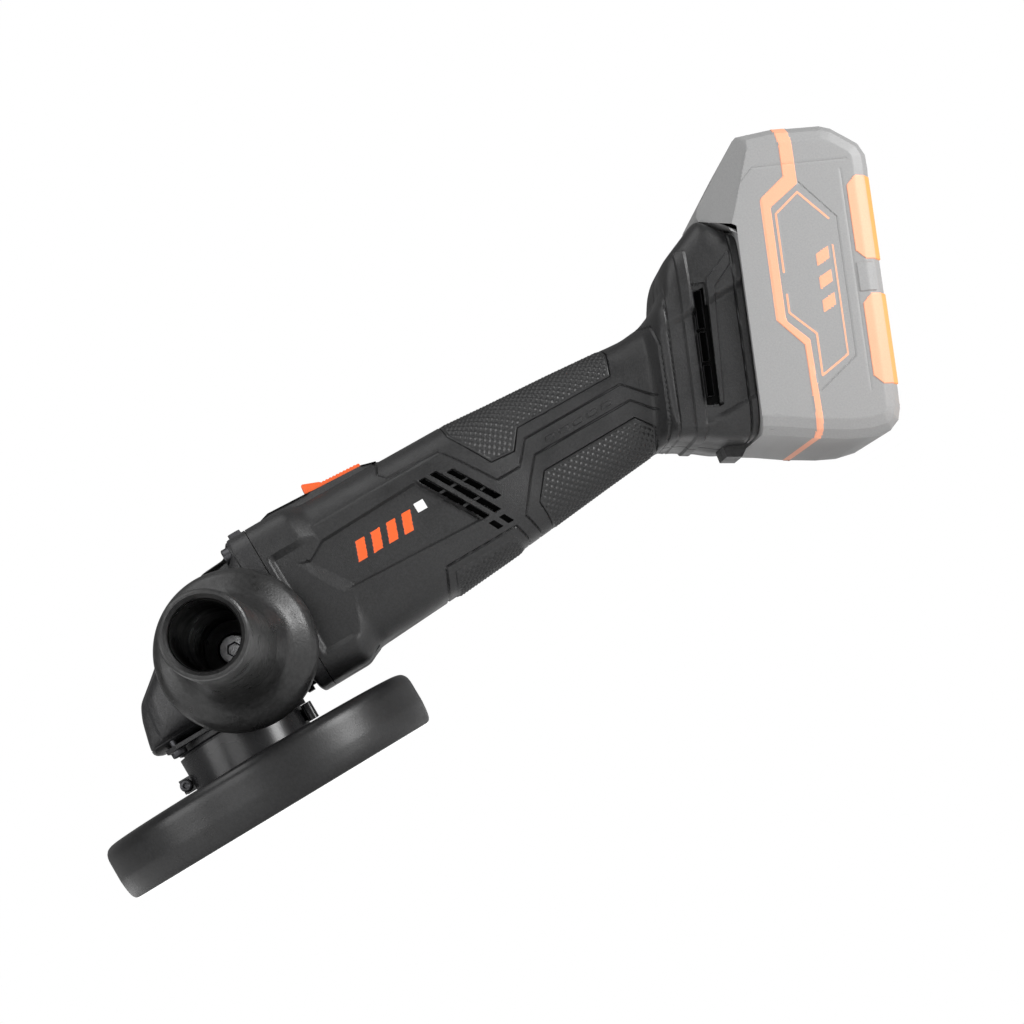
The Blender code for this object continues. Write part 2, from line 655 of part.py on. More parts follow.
def tube(points, radius, steps):
    """Round tube through points in a plane of constant y."""
    rings = []
    for index, point in enumerate(points):
        before, after = points[max(index - 1, 0)], points[min(index + 1, len(points) - 1)]
        along = (after - before).normalized()
        across, up = Vector((0, 1, 0)), along.cross(Vector((0, 1, 0)))
        rings.append([point + across * u + up * v for u, v in circle(radius, steps)])
    return loft(rings)


# ---------------------------------------------------------------- switch and lock button

def switch_knob():
    outline = [(71.0, 102.7), (71.0, 106.4), (71.8, 106.9), (79.5, 103.8), (96.0, 102.8), (96.0, 101.3)]
    knob = add("switch_knob", prism(outline, -7.5, 7.5, "Y"), "switch_plastic", "switch", smooth=False)
    join(knob, block((76.0, 88.0), (-3.6, 3.6), (95.6, 102.3)))
    add("switch_rod", block((76.0, 130.3), (-2.5, 2.5), (92.4, 95.2)), "inner_plastic", "switch",
        smooth=False)


def lock_button():
    outline = [(35.6, -6.2), (36.4, -7.0), (40.1, -7.0), (40.9, -6.2), (40.9, 6.2), (40.1, 7.0),
               (36.4, 7.0), (35.6, 6.2)]
    button = add("lock_button", prism(outline, 99.2, 104.2), "inner_plastic", "lock_button", smooth=False)
    join(button, cylinder(1.8, MOTOR_Z + 12.4, 100.0, "Z", (38.25, 0), 12))


def lock_spring():
    """Coil round the lock pin, between the pocket's floor and the button."""
    turns, steps, wire, radius = 3, 9, 0.3, 2.45
    rings = []
    for step in range(turns * steps + 1):
        angle = 2 * math.pi * step / steps
        z = 93.0 + 5.7 * step / (turns * steps)
        out = Vector((math.cos(angle), math.sin(angle), 0.0))
        centre = Vector((38.25, 0.0, z)) + out * radius
        rings.append([centre + out * u + Vector((0, 0, v)) for u, v in circle(wire, 4)])
    add("lock_spring", loft(rings), "bright_steel", "tool")


# ---------------------------------------------------------------- guard

def guard_shell():
    """Sheet guard: outer and inner profile points in pairs, with the lower end corners rounded."""
    rings = []
    steps = 30
    for step in range(steps + 1):
        ring = []
        for radius, z in GUARD_OUTER + GUARD_INNER[::-1]:
            short = max(GUARD_CORNER - (z - GUARD_RIM), 0.0)
            back = GUARD_CORNER - math.sqrt(max(GUARD_CORNER ** 2 - short ** 2, 0.0))
            inset = math.degrees(back / radius)
            start, end = GUARD_ARC[0] + inset, GUARD_ARC[1] - inset
            angle = math.radians(start + (end - start) * step / steps)
            ring.append((radius * math.cos(angle), radius * math.sin(angle), z))
        rings.append(ring)
    count, last = len(rings[0]), len(rings) - 1
    verts = [point for ring in rings for point in ring]
    faces = []
    for row in range(last):
        for i in range(count):
            j = (i + 1) % count
            low, high = row * count, (row + 1) * count
            faces.append([low + i, low + j, high + j, high + i])
    for row in (0, last * count):
        for i in range(count // 2 - 1):
            faces.append([row + i, row + i + 1, row + count - 2 - i, row + count - 1 - i])
    return new_mesh(verts, faces)


def guard_parts():
    shell = add("guard_shell", guard_shell(), "guard_steel", "guard")
    ring = [(24.5, 20.35), (33.0, 20.35), (33.0, 21.85), (24.5, 21.85)]
    join(shell, partly_turned(ring, GUARD_ARC[1] - 364.0, GUARD_ARC[0] + 4.0, 16))
    band = [(24.5, 22.4), (BAND_RADIUS, 22.4), (BAND_RADIUS, 36.0), (24.5, 36.0)]
    clamp = add("guard_band", partly_turned(band, -176, 176, 30), "guard_steel", "guard")
    for side in (-1, 1):
        low_y, high_y = sorted((side * 1.9, side * 5.0))
        ear = block((-30.3, -25.0), (low_y, high_y), (23.5, 29.5))
        join(clamp, ear)
    join(clamp, block((24.8, 28.6), (-9.5, -3.0), (30.6, 32.6)))
    boolean(clamp, cylinder(1.4, -8.0, 8.0, "Y", (-28.2, 26.5), 10))
    countersunk_screw("guard_screw", "Y", (-28.2, 26.5), (2.5, -8.0, -5.3), (1.1, 7.5), "dark_steel", "guard")
    lever = add("guard_lever", cylinder(2.3, 23.2, 30.3, "Z", LEVER_PIVOT, 16), "guard_steel", "guard_lever")
    arm = [(27.1, 24.0), (28.7, 24.0), (28.7, 29.4), (27.1, 29.4)]
    join(lever, partly_turned(arm, -12, 62, 12))


# ---------------------------------------------------------------- side handle

def side_handle():
    profile = [
        (13.7, HANDLE_END), (14.6, -162.3), (15.1, -160.5), (15.4, -135.0), (15.8, -105.0),
        (16.3, -80.0), (17.0, -66.5), (18.2, -63.0), (20.5, -57.0), (23.0, -54.6), (26.0, -52.8),
        (29.0, -51.0), (30.8, -48.5), (31.4, -45.0), (31.4, -40.0), (30.6, -37.5),
        (28.0, HANDLE_SEAT), (4.6, HANDLE_SEAT),
        (4.6, -46.0), (11.5, -46.0), (11.5, -161.8), (12.4, HANDLE_END),
    ]
    axis = (HANDLE_X, HANDLE_Z)
    add("side_handle", turned(profile, "Y", axis, 24), "handle_rubber", "side_handle")
    bolt = add("handle_bolt", turned([(0, -52), (5.6, -52), (6.3, -51), (6.3, -46.3), (4.0, -46.3),
                                      (4.0, -21.6), (0, -21.6)], "Y", axis, 16),
               "bright_steel", "side_handle")
    boolean(bolt, cylinder(2.8, -53, -49.5, "Y", axis, 6))


# ---------------------------------------------------------------- battery

def battery_side(y, inset):
    """Side outline of the battery at one y, drawn in towards its middle by inset."""
    middle_b, middle_a = 24.0, 16.0
    points = []
    for b, a in BATTERY_OUTLINE:
        scale_b = 1 - inset / 28.5 if b > 5.0 else 1.0
        scale_a = 1 - inset / 66.0
        x, z = seat(middle_b + (b - middle_b) * scale_b, middle_a + (a - middle_a) * scale_a)
        points.append(Vector((x, y, z)))
    return points


def battery_shoulder(side):
    """Slanted cut that narrows one side of the battery towards its release button."""
    (low_b, low_a), (high_b, high_a) = SHOULDER_EDGE
    rings = []
    for a in (42.0, 96.0):
        edge = low_b + (a - low_a) * (high_b - low_b) / (high_a - low_a)
        ring = []
        for past, y in ((-1.0, 37.0 + SHOULDER_SLOPE), (25.0, 37.0 - 25.0 * SHOULDER_SLOPE),
                        (25.0, 50.0), (-1.0, 50.0)):
            x, z = seat(edge - past, a)
            ring.append(Vector((x, side * y, z)))
        rings.append(ring)
    return loft(rings)


def battery_case():
    edges = [(-BATTERY_HALF_WIDTH, 7.0), (-35.8, 3.0), (-31.5, 0.0), (31.5, 0.0), (35.8, 3.0),
             (BATTERY_HALF_WIDTH, 7.0)]
    rings = [battery_side(y, inset) for y, inset in edges]
    case = add("battery_case", loft(rings), "battery_plastic", "battery")
    for side in (-1, 1):
        boolean(case, battery_shoulder(side))
    boolean(case, seat_block((-1.5, 44.0), (-38.0, 62.0), (-34.4, 34.4)))
    boolean(case, seat_block((-7.0, 0.0), (-37.8, 46.5), (-26.0, 26.0)))
    boolean(case, latch_space())
    for a_low, a_high in ((25.6, 61.0), (-25.4, 12.4)):
        boolean(case, bumper(a_low - GAP, a_high + GAP, 50.4, 60.0, 34.0))


def bumper(a_low, a_high, b_low, b_high, half_width):
    return seat_block((b_low, b_high), (a_low, a_high), (-half_width, half_width))


def battery_bumpers():
    for name, a_low, a_high in (("upper_bumper", 25.6, 61.0), ("lower_bumper", -25.4, 12.4)):
        add(name, bumper(a_low, a_high, 50.8, 53.3, 33.6), "battery_accent", "battery", smooth=False)


def battery_cover():
    """Closes the battery towards the tool and carries its rails and terminal slots."""
    cover = add("battery_cover", seat_block((-16.6, -0.3), (-33.4, 46.2), (-21.9, 21.9)),
                "battery_plastic", "battery", smooth=False)
    join(cover, seat_block((-16.5, -9.5), (-33.2, 46.0), (-26.5, 26.5)))
    join(cover, seat_block((-4.0, -0.4), (-37.5, 46.1), (-25.7, 25.7)))
    boolean(cover, seat_block((-17.5, -10.0), (-35.0, -13.0), (-17.0, 17.0)))


def cell_pack():
    """Ten round cells in two rows, with their holders, as one welded block."""
    radius, rows = 9.2, (12.0, 30.8)
    centres = [(b, -28.3 + 19.4 * number) for b in rows for number in range(5)]
    pack = add("cell_pack", seat_block((10.0, 33.0), (-31.3, 52.3), (-31.0, 31.0)), "cell_wrap", "battery")
    for b, a in centres:
        join(pack, cylinder(radius, -32.5, 32.5, "Y", seat(b, a), 10))


def latch_outline(length, outward, inward):
    """Corners of a block on the battery's sloping top end, in the seat's frame."""
    along = (math.cos(LATCH_TURN), math.sin(LATCH_TURN))
    out = (-along[1], along[0])
    corners = []
    for u, v in ((-length, -inward), (length, -inward), (length, outward), (-length, outward)):
        b = LATCH_PLACE[0] + along[0] * u + out[0] * v
        a = LATCH_PLACE[1] + along[1] * u + out[1] * v
        corners.append(seat(b, a))
    return corners


def latch_space():
    return prism(latch_outline(7.6, 6.0, 6.0), -10.6, 10.6, "Y")


def battery_latch():
    add("battery_latch", prism(latch_outline(7.2, 0.9, 2.2), -10.2, 10.2, "Y"), "battery_plastic",
        "battery_latch", smooth=False)


# ---------------------------------------------------------------- assembly

def main():
    clear_scene()
    body("tool", (0, 0, 0))
    body("spindle", (0, 0, 0))
    body("rotor", (0, 0, MOTOR_Z))
    body("lock_button", (38.25, 0, 99.2))
    body("switch", (82.0, 0, 103.0))
    body("guard", (0, 0, 0))
    body("guard_lever", (*LEVER_PIVOT, 26.5))
    body("side_handle", (HANDLE_X, 0, HANDLE_Z))
    body("battery", (SEAT_X, 0, SEAT_Z))
    latch_x, latch_z = seat(*LATCH_PLACE)
    body("battery_latch", (latch_x, 0, latch_z))

    gear_case()
    bearing_cover()
    head_screws()
    bearing("spindle_bearing", "Z", (0, 0), 24.9, 35.0, 6.3, 16.0)
    bearing("spindle_top_bush", "Z", (0, 0), 70.4, 76.6, 5.2, 7.0)
    spindle_parts()
    crown_gear()

    bevel_pinion()
    rotor()
    stator()
    bearing("motor_front_bearing", "X", (0, MOTOR_Z), 24.2, 31.2, 4.3, 11.0)
    bearing("motor_rear_bearing", "X", (0, MOTOR_Z), 117.0, 123.0, 4.3, 9.6)

    housing_half("housing_left", -1)
    housing_half("housing_right", 1)
    housing_screws()
    for side, word in ((-1, "left"), (1, "right")):
        grip_pad(f"grip_upper_{word}", side, 0, 74)
        grip_pad(f"grip_lower_{word}", side, 106, 180)
    electrical_parts()
    switch_knob()
    lock_button()
    lock_spring()
    guard_parts()
    side_handle()

    battery_case()
    battery_cover()
    cell_pack()
    battery_bumpers()
    battery_latch()


main()
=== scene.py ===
"""Finished look of the cordless angle grinder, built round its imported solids.

Lengths are in millimetres, in the part's own frame, and turn into metres in make(). Skins are dense
grids over the same outlines as the solids, with their grooves, pads and panels worked into them.
"""

import math

import bmesh
import bpy
import numpy as np
from mathutils import Matrix, Vector
from mathutils.kdtree import KDTree


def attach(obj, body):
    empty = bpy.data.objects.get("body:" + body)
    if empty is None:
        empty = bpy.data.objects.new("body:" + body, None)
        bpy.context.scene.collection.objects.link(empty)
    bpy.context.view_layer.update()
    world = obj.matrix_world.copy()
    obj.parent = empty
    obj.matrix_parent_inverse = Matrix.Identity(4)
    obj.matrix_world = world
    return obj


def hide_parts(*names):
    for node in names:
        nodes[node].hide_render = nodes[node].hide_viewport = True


MM = 0.001
FAR = 1e9
OFF, NOWHERE = 9.0, 99.0                         # distances that stand for being nowhere near a feature

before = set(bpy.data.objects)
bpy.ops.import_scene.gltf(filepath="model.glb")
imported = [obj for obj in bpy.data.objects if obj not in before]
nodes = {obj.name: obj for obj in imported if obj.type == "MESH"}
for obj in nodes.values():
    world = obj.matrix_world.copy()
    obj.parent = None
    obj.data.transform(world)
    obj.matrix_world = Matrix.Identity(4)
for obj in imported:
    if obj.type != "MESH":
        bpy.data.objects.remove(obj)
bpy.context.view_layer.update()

SPLIT = 0.15                                     # gap from the parting plane to each housing half
HANDLE_PLACE = (17.5, 59.6)
SEAT_X, SEAT_Z, SEAT_TILT = 258.0, 61.5, math.radians(24.2)
NECK_END, FOOT_START = -45.0, -36.0              # where the section turns flat-sided, in the seat's frame
FOOT_SQUARENESS, FOOT_HALF_WIDTH, FOOT_FLARE = 6.5, 32.0, 3.5

# top x, top z, bottom x, bottom z, half width, squareness of the section
HOUSING = [
    (43, 101.3, 43, 31, 33, 5.5), (59, 101.3, 59, 31, 33, 5.5),
    (66, 99.6, 66, 34.3, 30.5, 3.6), (98, 98.8, 98, 36, 29.5, 3.6),
    (131, 98.5, 131, 38.3, 27, 3.2), (138.5, 98, 138.5, 38.9, 26, 3),
    (152, 97, 152, 40, 23.5, 2.8), (180, 95, 180, 42.6, 22, 2.7),
    (204, 92.8, 203, 44.5, 21.5, 2.7), (206.5, 92.4, 204.5, 44.8, 21.5, 2.7),
    (214, 91.7, 208, 44.7, 22, 2.8), (223.5, 92.6, 213, 42.3, 24, 2.6),
    (232, 95.6, 218, 39.1, 27, 2.5), (236, 99.8, 221.5, 36.9, 29.5, 2.6),
    (239.5, 105.2, 224, 34.8, 31.5, 3.2), (243.5, 109.2, 227, 32.5, 33, 5),
    (263, 117.2, 234.2, 28.8, 33.5, 6.5), (272.2, 104.4, 237.8, 28.4, 33.5, 6.5),
]
GEAR_CASE = [
    (-28.5, 59.5, -32.6, 43, 17, 4), (-26.3, 63.5, -31.8, 42, 22, 4),
    (-19, 69, -22, 42, 28, 4), (-6, 80, -8, 42, 31, 4),
    (8, 91, 6, 42, 32, 4), (20, 95.3, 20, 42, 32, 4),
    (30, 96, 31, 42, 32, 4), (34, 101, 36.5, 36, 32.8, 5),
    (35.5, 101.3, 37, 31, 33, 5.5), (42.7, 101.3, 42.7, 31, 33, 5.5),
]


# ---------------------------------------------------------------- distances on a surface

def outline_distance(u, v, outline):
    """Distance to a closed outline, negative inside it."""
    inside = np.zeros(u.shape, bool)
    for (au, av), (bu, bv) in zip(outline, outline[1:] + outline[:1]):
        if av != bv:
            inside ^= ((av > v) != (bv > v)) & (u < (bu - au) * (v - av) / (bv - av) + au)
    nearest = line_distance(u, v, outline + outline[:1])
    return np.where(inside, -nearest, nearest)


def line_distance(u, v, line):
    nearest = np.full(u.shape, FAR)
    for (au, av), (bu, bv) in zip(line, line[1:]):
        eu, ev = bu - au, bv - av
        share = np.clip(((u - au) * eu + (v - av) * ev) / (eu * eu + ev * ev), 0, 1)
        nearest = np.minimum(nearest, np.hypot(u - au - share * eu, v - av - share * ev))
    return nearest


def side_view(p):
    return p[..., 0], p[..., 2]


def seat_view(p):
    """How far out of the battery seat, and how far up along it."""
    x, z = p[..., 0] - SEAT_X, p[..., 2] - SEAT_Z
    c, s = math.cos(SEAT_TILT), math.sin(SEAT_TILT)
    return x * c - z * s, x * s + z * c


def seat(b, a):
    c, s = math.cos(SEAT_TILT), math.sin(SEAT_TILT)
    return SEAT_X + b * c + a * s, SEAT_Z - b * s + a * c


def level(outline, height, wall=0.4, view=side_view):
    """Area raised by height, or sunk where it is negative, with a wall that wide inside the outline."""
    return (lambda p: outline_distance(*view(p), outline), (0.0, -wall),
            lambda d: height * np.clip(-d / wall, 0, 1))


def groove(line, width=1.2, depth=0.8, view=side_view):
    """V-shaped groove along a line."""
    half = width / 2
    return (lambda p: line_distance(*view(p), line) - half, (0.0, -half),
            lambda d: -depth * np.clip(-d / half, 0, 1))


def edge(distance, *offsets):
    """Line that the grid follows without rising or sinking."""
    return distance, offsets, lambda d: 0 * d


def opening(outline, view=side_view):
    """Distance to an outline from any point, for areas to cut out or paint."""
    return lambda p: outline_distance(*view(p), outline)


def beyond(distance):
    return lambda p: -distance(p)


# ---------------------------------------------------------------- grids

SNAP_CELLS, SNAP_LIMIT = 0.55, 0.6               # how near an edge a point is, and how far it moves
ON_EDGE = 0.06


def eased(share):
    share = np.clip(share, 0, 1)
    return share * share * (3 - 2 * share)


def flattened(x, z, squareness, half_width):
    """Squareness and half width at a place on the housing: the foot turns flat-sided past the neck."""
    b = (x - SEAT_X) * math.cos(SEAT_TILT) - (z - SEAT_Z) * math.sin(SEAT_TILT)
    share = eased((b - NECK_END) / (FOOT_START - NECK_END))
    flat_width = FOOT_HALF_WIDTH + FOOT_FLARE * np.clip((b - FOOT_START) / (-4.5 - FOOT_START), 0, 1)
    half_width = half_width + (flat_width - half_width) * share
    return squareness + (FOOT_SQUARENESS - squareness) * share, half_width


def arc_length(p):
    """How far each grid point is along its section."""
    step = np.linalg.norm(np.diff(p, axis=1), axis=2)
    return np.concatenate([np.zeros((len(p), 1)), np.cumsum(step, axis=1)], axis=1)


def smoothed(line, pitch, radius):
    """Columns of evenly spaced rows, blurred over about radius, with both ends kept in place."""
    reach = min(int(3 * radius / pitch), len(line) - 1)
    if reach < 1:
        return line
    kernel = np.exp(-0.5 * (np.arange(-reach, reach + 1) * pitch / radius) ** 2)
    kernel /= kernel.sum()
    low = 2 * line[0] - line[reach:0:-1]
    high = 2 * line[-1] - line[-2:-reach - 2:-1]
    padded = np.concatenate([low, line, high])
    return np.stack([np.convolve(padded[:, k], kernel, "valid") for k in range(line.shape[1])], axis=1)


def loft_base(table, pitch, smooth=1.2, foot=False):
    """Grid over the right half of an outline table, evenly spaced up each section from bottom to top."""
    table = np.array(table)
    tops = np.linalg.norm(np.diff(table[:, 0:2], axis=0), axis=1)
    bottoms = np.linalg.norm(np.diff(table[:, 2:4], axis=0), axis=1)
    along = np.concatenate([[0], np.cumsum((tops + bottoms) / 2)])
    count = int(along[-1] / pitch) + 1
    here = np.linspace(0, along[-1], count)
    rows = np.stack([np.interp(here, along, table[:, k]) for k in range(6)], axis=1)
    rows = smoothed(rows, pitch, smooth)
    angle = np.linspace(0.0, math.pi, 1601)
    top, bottom, wide, square = rows[:, 0:2], rows[:, 2:4], rows[:, 4], rows[:, 5]
    c, s = np.cos(angle), np.sin(angle)
    power = (2 / square)[:, None]
    up = np.sign(c) * np.abs(c) ** power
    out = np.sign(s) * np.abs(s) ** power * wide[:, None]
    middle, half = (top + bottom) / 2, (top - bottom) / 2
    x, z = (middle[:, k, None] + half[:, k, None] * up for k in (0, 1))
    if foot:
        squares, widths = flattened(x, z, square[:, None], wide[:, None])
        out /= wide[:, None]
        size = (np.abs(up) ** squares + np.abs(out) ** squares) ** (-1 / squares)
        up, out = up * size, out * size * widths
        x, z = (middle[:, k, None] + half[:, k, None] * up for k in (0, 1))
    dense = np.stack([x, out, z], axis=2)
    length = arc_length(dense)
    columns = int(length[:, -1].mean() / pitch) + 1
    grid = np.empty((count, columns, 3))
    for row in range(count):
        wanted = np.linspace(0, length[row, -1], columns)
        for k in range(3):
            grid[row, :, k] = np.interp(wanted, length[row], dense[row, :, k])
    return grid[:, ::-1]


def numbered(points):
    """Vertex number of each point of a grid."""
    return np.arange(points.shape[0] * points.shape[1]).reshape(points.shape[:2])


def grid_quads(points):
    index = numbered(points)
    return np.stack([index[:-1, :-1], index[:-1, 1:], index[1:, 1:], index[1:, :-1]], axis=-1)


def bands(here, ahead):
    """Faces between closed sections and the ones after them."""
    faces = np.stack([here, np.roll(here, -1, axis=1), np.roll(ahead, -1, axis=1), ahead], axis=-1)
    return faces.reshape(-1, 4).tolist()


def strips(row):
    """Faces that close a section whose second half goes back along its first."""
    return [[row[i], row[i + 1], row[-2 - i], row[-1 - i]] for i in range(len(row) // 2 - 1)]


def look_up(grid, r, c):
    """Values of a grid at places between its rows and columns."""
    rows, columns = grid.shape[:2]
    r, c = np.clip(r, 0, rows - 1.000001), np.clip(c, 0, columns - 1.000001)
    i, j = r.astype(int), c.astype(int)
    fr, fc = (r - i)[..., None], (c - j)[..., None]
    near = grid[i, j] * (1 - fr) + grid[i + 1, j] * fr
    far = grid[i, j + 1] * (1 - fr) + grid[i + 1, j + 1] * fr
    return near * (1 - fc) + far * fc


def grid_normals(grid):
    along = np.gradient(grid, axis=0)
    across = np.gradient(grid, axis=1)
    normal = np.cross(across, along)
    normal /= np.maximum(np.linalg.norm(normal, axis=2, keepdims=True), 1e-9)
    return normal


def snapped(grid, features, openings):
    """Moves grid points along the surface onto the edges of features, so that the edges are crisp."""
    rows, columns = grid.shape[:2]
    r, c = np.meshgrid(np.arange(rows, dtype=float), np.arange(columns, dtype=float), indexing="ij")
    best = np.full((rows, columns), SNAP_CELLS)
    move_r, move_c = np.zeros_like(best), np.zeros_like(best)
    lines = [(distance(grid), offsets) for distance, offsets, _ in features]
    lines += [(distance(grid), (0.0,)) for distance in openings]
    for distance, offsets in lines:
        slope_r, slope_c = np.gradient(distance)
        size = slope_r ** 2 + slope_c ** 2 + 1e-9
        for offset in offsets:
            off = distance - offset
            cells = np.abs(off) / np.sqrt(size)
            near = cells < best
            move_r[near] = (-off * slope_r / size)[near]
            move_c[near] = (-off * slope_c / size)[near]
            best[near] = cells[near]
    move_r[0] = move_r[-1] = 0
    move_c[:, 0] = move_c[:, -1] = 0
    return r + np.clip(move_r, -SNAP_LIMIT, SNAP_LIMIT), c + np.clip(move_c, -SNAP_LIMIT, SNAP_LIMIT)


def diagonals(points, lines):
    """Quads to split from corner 0 to 2, and from 1 to 3, where a feature's edge crosses them."""
    first = np.zeros((points.shape[0] - 1, points.shape[1] - 1), bool)
    second = first.copy()
    for distance, offset in lines:
        off = distance(points) - offset
        near = np.abs(off) < ON_EDGE
        a, b, c, d = off[:-1, :-1], off[:-1, 1:], off[1:, 1:], off[1:, :-1]
        near_a, near_b, near_c, near_d = near[:-1, :-1], near[:-1, 1:], near[1:, 1:], near[1:, :-1]
        first |= near_a & near_c & (b * d < 0)
        second |= near_b & near_d & (a * c < 0)
    return first, second & ~first


def skin(grid, features=(), openings=(), extra=None, paints=(), exact=None):
    """(points, faces, slots) of a grid with features raised or sunk, openings cut and areas painted."""
    r, c = snapped(grid, features, openings)
    normals = grid_normals(grid)
    points, normal = look_up(grid, r, c), look_up(normals, r, c)
    if exact is not None:
        points = exact(points)
    height = np.zeros(points.shape[:2])
    for distance, _, rise in features:
        height += rise(distance(points))
    if extra is not None:
        height += extra(points)
    shown = points + normal * height[..., None]
    corners = grid_quads(grid)
    lines = [(distance, offset) for distance, offsets, _ in features for offset in offsets]
    first, second = diagonals(points, lines + [(distance, 0.0) for distance in openings])
    flat = points.reshape(-1, 3)
    faces, slots = [], []
    whole = ~(first | second)
    for group in (corners[whole], corners[first][:, [0, 1, 2]], corners[first][:, [0, 2, 3]],
                  corners[second][:, [0, 1, 3]], corners[second][:, [1, 2, 3]]):
        middle = flat[group].mean(axis=1)
        kept = np.ones(len(group), bool)
        for distance in openings:
            kept &= distance(middle) > 0
        middle = middle[kept]
        slot = np.zeros(len(middle), int)
        for distance, number in paints:
            slot[distance(middle) < 0] = number
        faces.extend(group[kept].tolist())
        slots.extend(slot.tolist())
    return shown.reshape(-1, 3), faces, slots


def smooth_line(points, pitch, radius):
    """Points every pitch along a polyline, with its corners rounded off by about radius."""
    points = np.array(points, float)
    along = arc_length(points[None])[0]
    count = max(int(along[-1] / pitch), 2) + 1
    here = np.linspace(0, along[-1], count)
    line = np.stack([np.interp(here, along, points[:, k]) for k in range(points.shape[1])], axis=1)
    return smoothed(line, pitch, radius)


def lathe(profile, axis="Z", centre=(0.0, 0.0), steps=96, arc=None, ripple=None):
    """(points, faces) of a closed profile of (radius, height), turned fully or through an arc."""
    profile = np.array(profile, float)
    angles = np.radians(np.linspace(*(arc or (0.0, 360.0)), steps + 1))
    if arc is None:
        angles = angles[:-1]
    radius = np.broadcast_to(profile[:, 0], (len(angles), len(profile)))
    if ripple is not None:
        radius = radius * ripple(angles[:, None], profile[None, :, 0])
    u, v = np.cos(angles)[:, None] * radius, np.sin(angles)[:, None] * radius
    w = np.broadcast_to(profile[:, 1], u.shape)
    parts = [centre[0] + u, centre[1] + v]
    parts.insert("XYZ".index(axis), w)
    points = np.stack(parts, axis=2)
    index = numbered(points)
    if arc is None:
        return points.reshape(-1, 3), bands(index, np.roll(index, -1, axis=0))
    ends = [index[0].tolist()[::-1], index[-1].tolist()]
    return points.reshape(-1, 3), bands(index[:-1], index[1:]) + ends


# ---------------------------------------------------------------- objects

def linked(name, data):
    obj = bpy.data.objects.new(name, data)
    bpy.context.scene.collection.objects.link(obj)
    return obj


def make(name, points, faces, body, slot, node, face_slots=None, materials=None, sharp=32, turn=False):
    """Mesh object in metres that rides on a body and replaces a CAD node, without the unused points."""
    faces = [tuple(face) for face in faces]
    used = np.unique(np.concatenate([np.array(face) for face in faces]))
    place = np.full(len(points), -1)
    place[used] = np.arange(len(used))
    data = bpy.data.meshes.new(name)
    data.from_pydata((np.asarray(points)[used] * MM).tolist(), [],
                     [[int(place[i]) for i in face] for face in faces])
    for item in materials or [slot]:
        data.materials.append(shades[item])
    if face_slots is not None:
        data.polygons.foreach_set("material_index", np.asarray(face_slots, np.int32))
    if turn:
        mesh = bmesh.new()
        mesh.from_mesh(data)
        bmesh.ops.remove_doubles(mesh, verts=mesh.verts, dist=0.002 * MM)
        bmesh.ops.recalc_face_normals(mesh, faces=mesh.faces)
        mesh.to_mesh(data)
        mesh.free()
    data.validate()
    data.shade_smooth()
    data.set_sharp_from_angle(angle=math.radians(sharp))
    obj = linked(name, data)
    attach(obj, body)
    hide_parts(node)


def inner_faces(node, surfaces, deepest, also=None, proud=0.4):
    """(points, faces) of a CAD node's faces that aren't on the outer surface that these grids cover."""
    flat = np.concatenate([grid[::2, ::2].reshape(-1, 3) for grid in surfaces])
    out = np.concatenate([grid_normals(grid)[::2, ::2].reshape(-1, 3) for grid in surfaces])
    tree = KDTree(len(flat))
    for i, p in enumerate(flat):
        tree.insert(p, i)
    tree.balance()
    mesh = nodes[node].data
    points = np.array([v.co for v in mesh.vertices]) / MM
    faces = []
    for polygon in mesh.polygons:
        centre, normal = np.array(polygon.center) / MM, np.array(polygon.normal)
        _, i, gap = tree.find(centre)
        facing = float(np.dot(normal, out[i]))
        outside = float(np.dot(centre - flat[i], out[i]))
        limit = proud(centre) if callable(proud) else proud
        if facing > 0.5 and -deepest < outside < limit and gap < max(deepest, limit) + 2:
            continue
        if also is not None and also(centre, normal):
            continue
        faces.append(tuple(polygon.vertices))
    return points, faces


def together(*parts):
    """Several (points, faces) as one."""
    points, faces, start = [], [], 0
    for part_points, part_faces in parts:
        points.append(np.asarray(part_points, float).reshape(-1, 3))
        faces.extend(tuple(int(i) + start for i in face) for face in part_faces)
        start += len(points[-1])
    return np.concatenate(points), faces


def finish(name, shade, bevel):
    """Rounds a CAD node's edges and gives it its finished material."""
    obj = nodes[name]
    for index in range(len(obj.material_slots)):
        obj.material_slots[index].material = shades[shade]
    weld = obj.modifiers.new("Weld", "WELD")
    weld.merge_threshold = 2e-6
    if bevel:
        rounding = obj.modifiers.new("Rounded edges", "BEVEL")
        rounding.width = bevel * MM
        rounding.segments = 2
        rounding.limit_method = "ANGLE"
        rounding.angle_limit = math.radians(30.0)
        rounding.harden_normals = False
    normals = obj.modifiers.new("Even shading", "WEIGHTED_NORMAL")
    normals.keep_sharp = False
    obj.data.shade_smooth()


# ---------------------------------------------------------------- materials

def nodes_of(name):
    made = bpy.data.materials.new(name)
    made.use_nodes = True
    tree = made.node_tree
    return made, tree, tree.nodes["Principled BSDF"]


def noise(tree, size, detail=2.0, roughness=0.5):
    """Noise whose blotches are about that size in millimetres."""
    place = tree.nodes.new("ShaderNodeTexCoord")
    made = tree.nodes.new("ShaderNodeTexNoise")
    made.inputs["Scale"].default_value = 1000.0 / size
    made.inputs["Detail"].default_value = detail
    made.inputs["Roughness"].default_value = roughness
    tree.links.new(place.outputs["Object"], made.inputs["Vector"])
    return made.outputs["Fac"]


def spread(tree, value, low, high):
    made = tree.nodes.new("ShaderNodeMapRange")
    made.inputs["From Min"].default_value = 0.3
    made.inputs["From Max"].default_value = 0.7
    made.inputs["To Min"].default_value = low
    made.inputs["To Max"].default_value = high
    tree.links.new(value, made.inputs["Value"])
    return made.outputs["Result"]


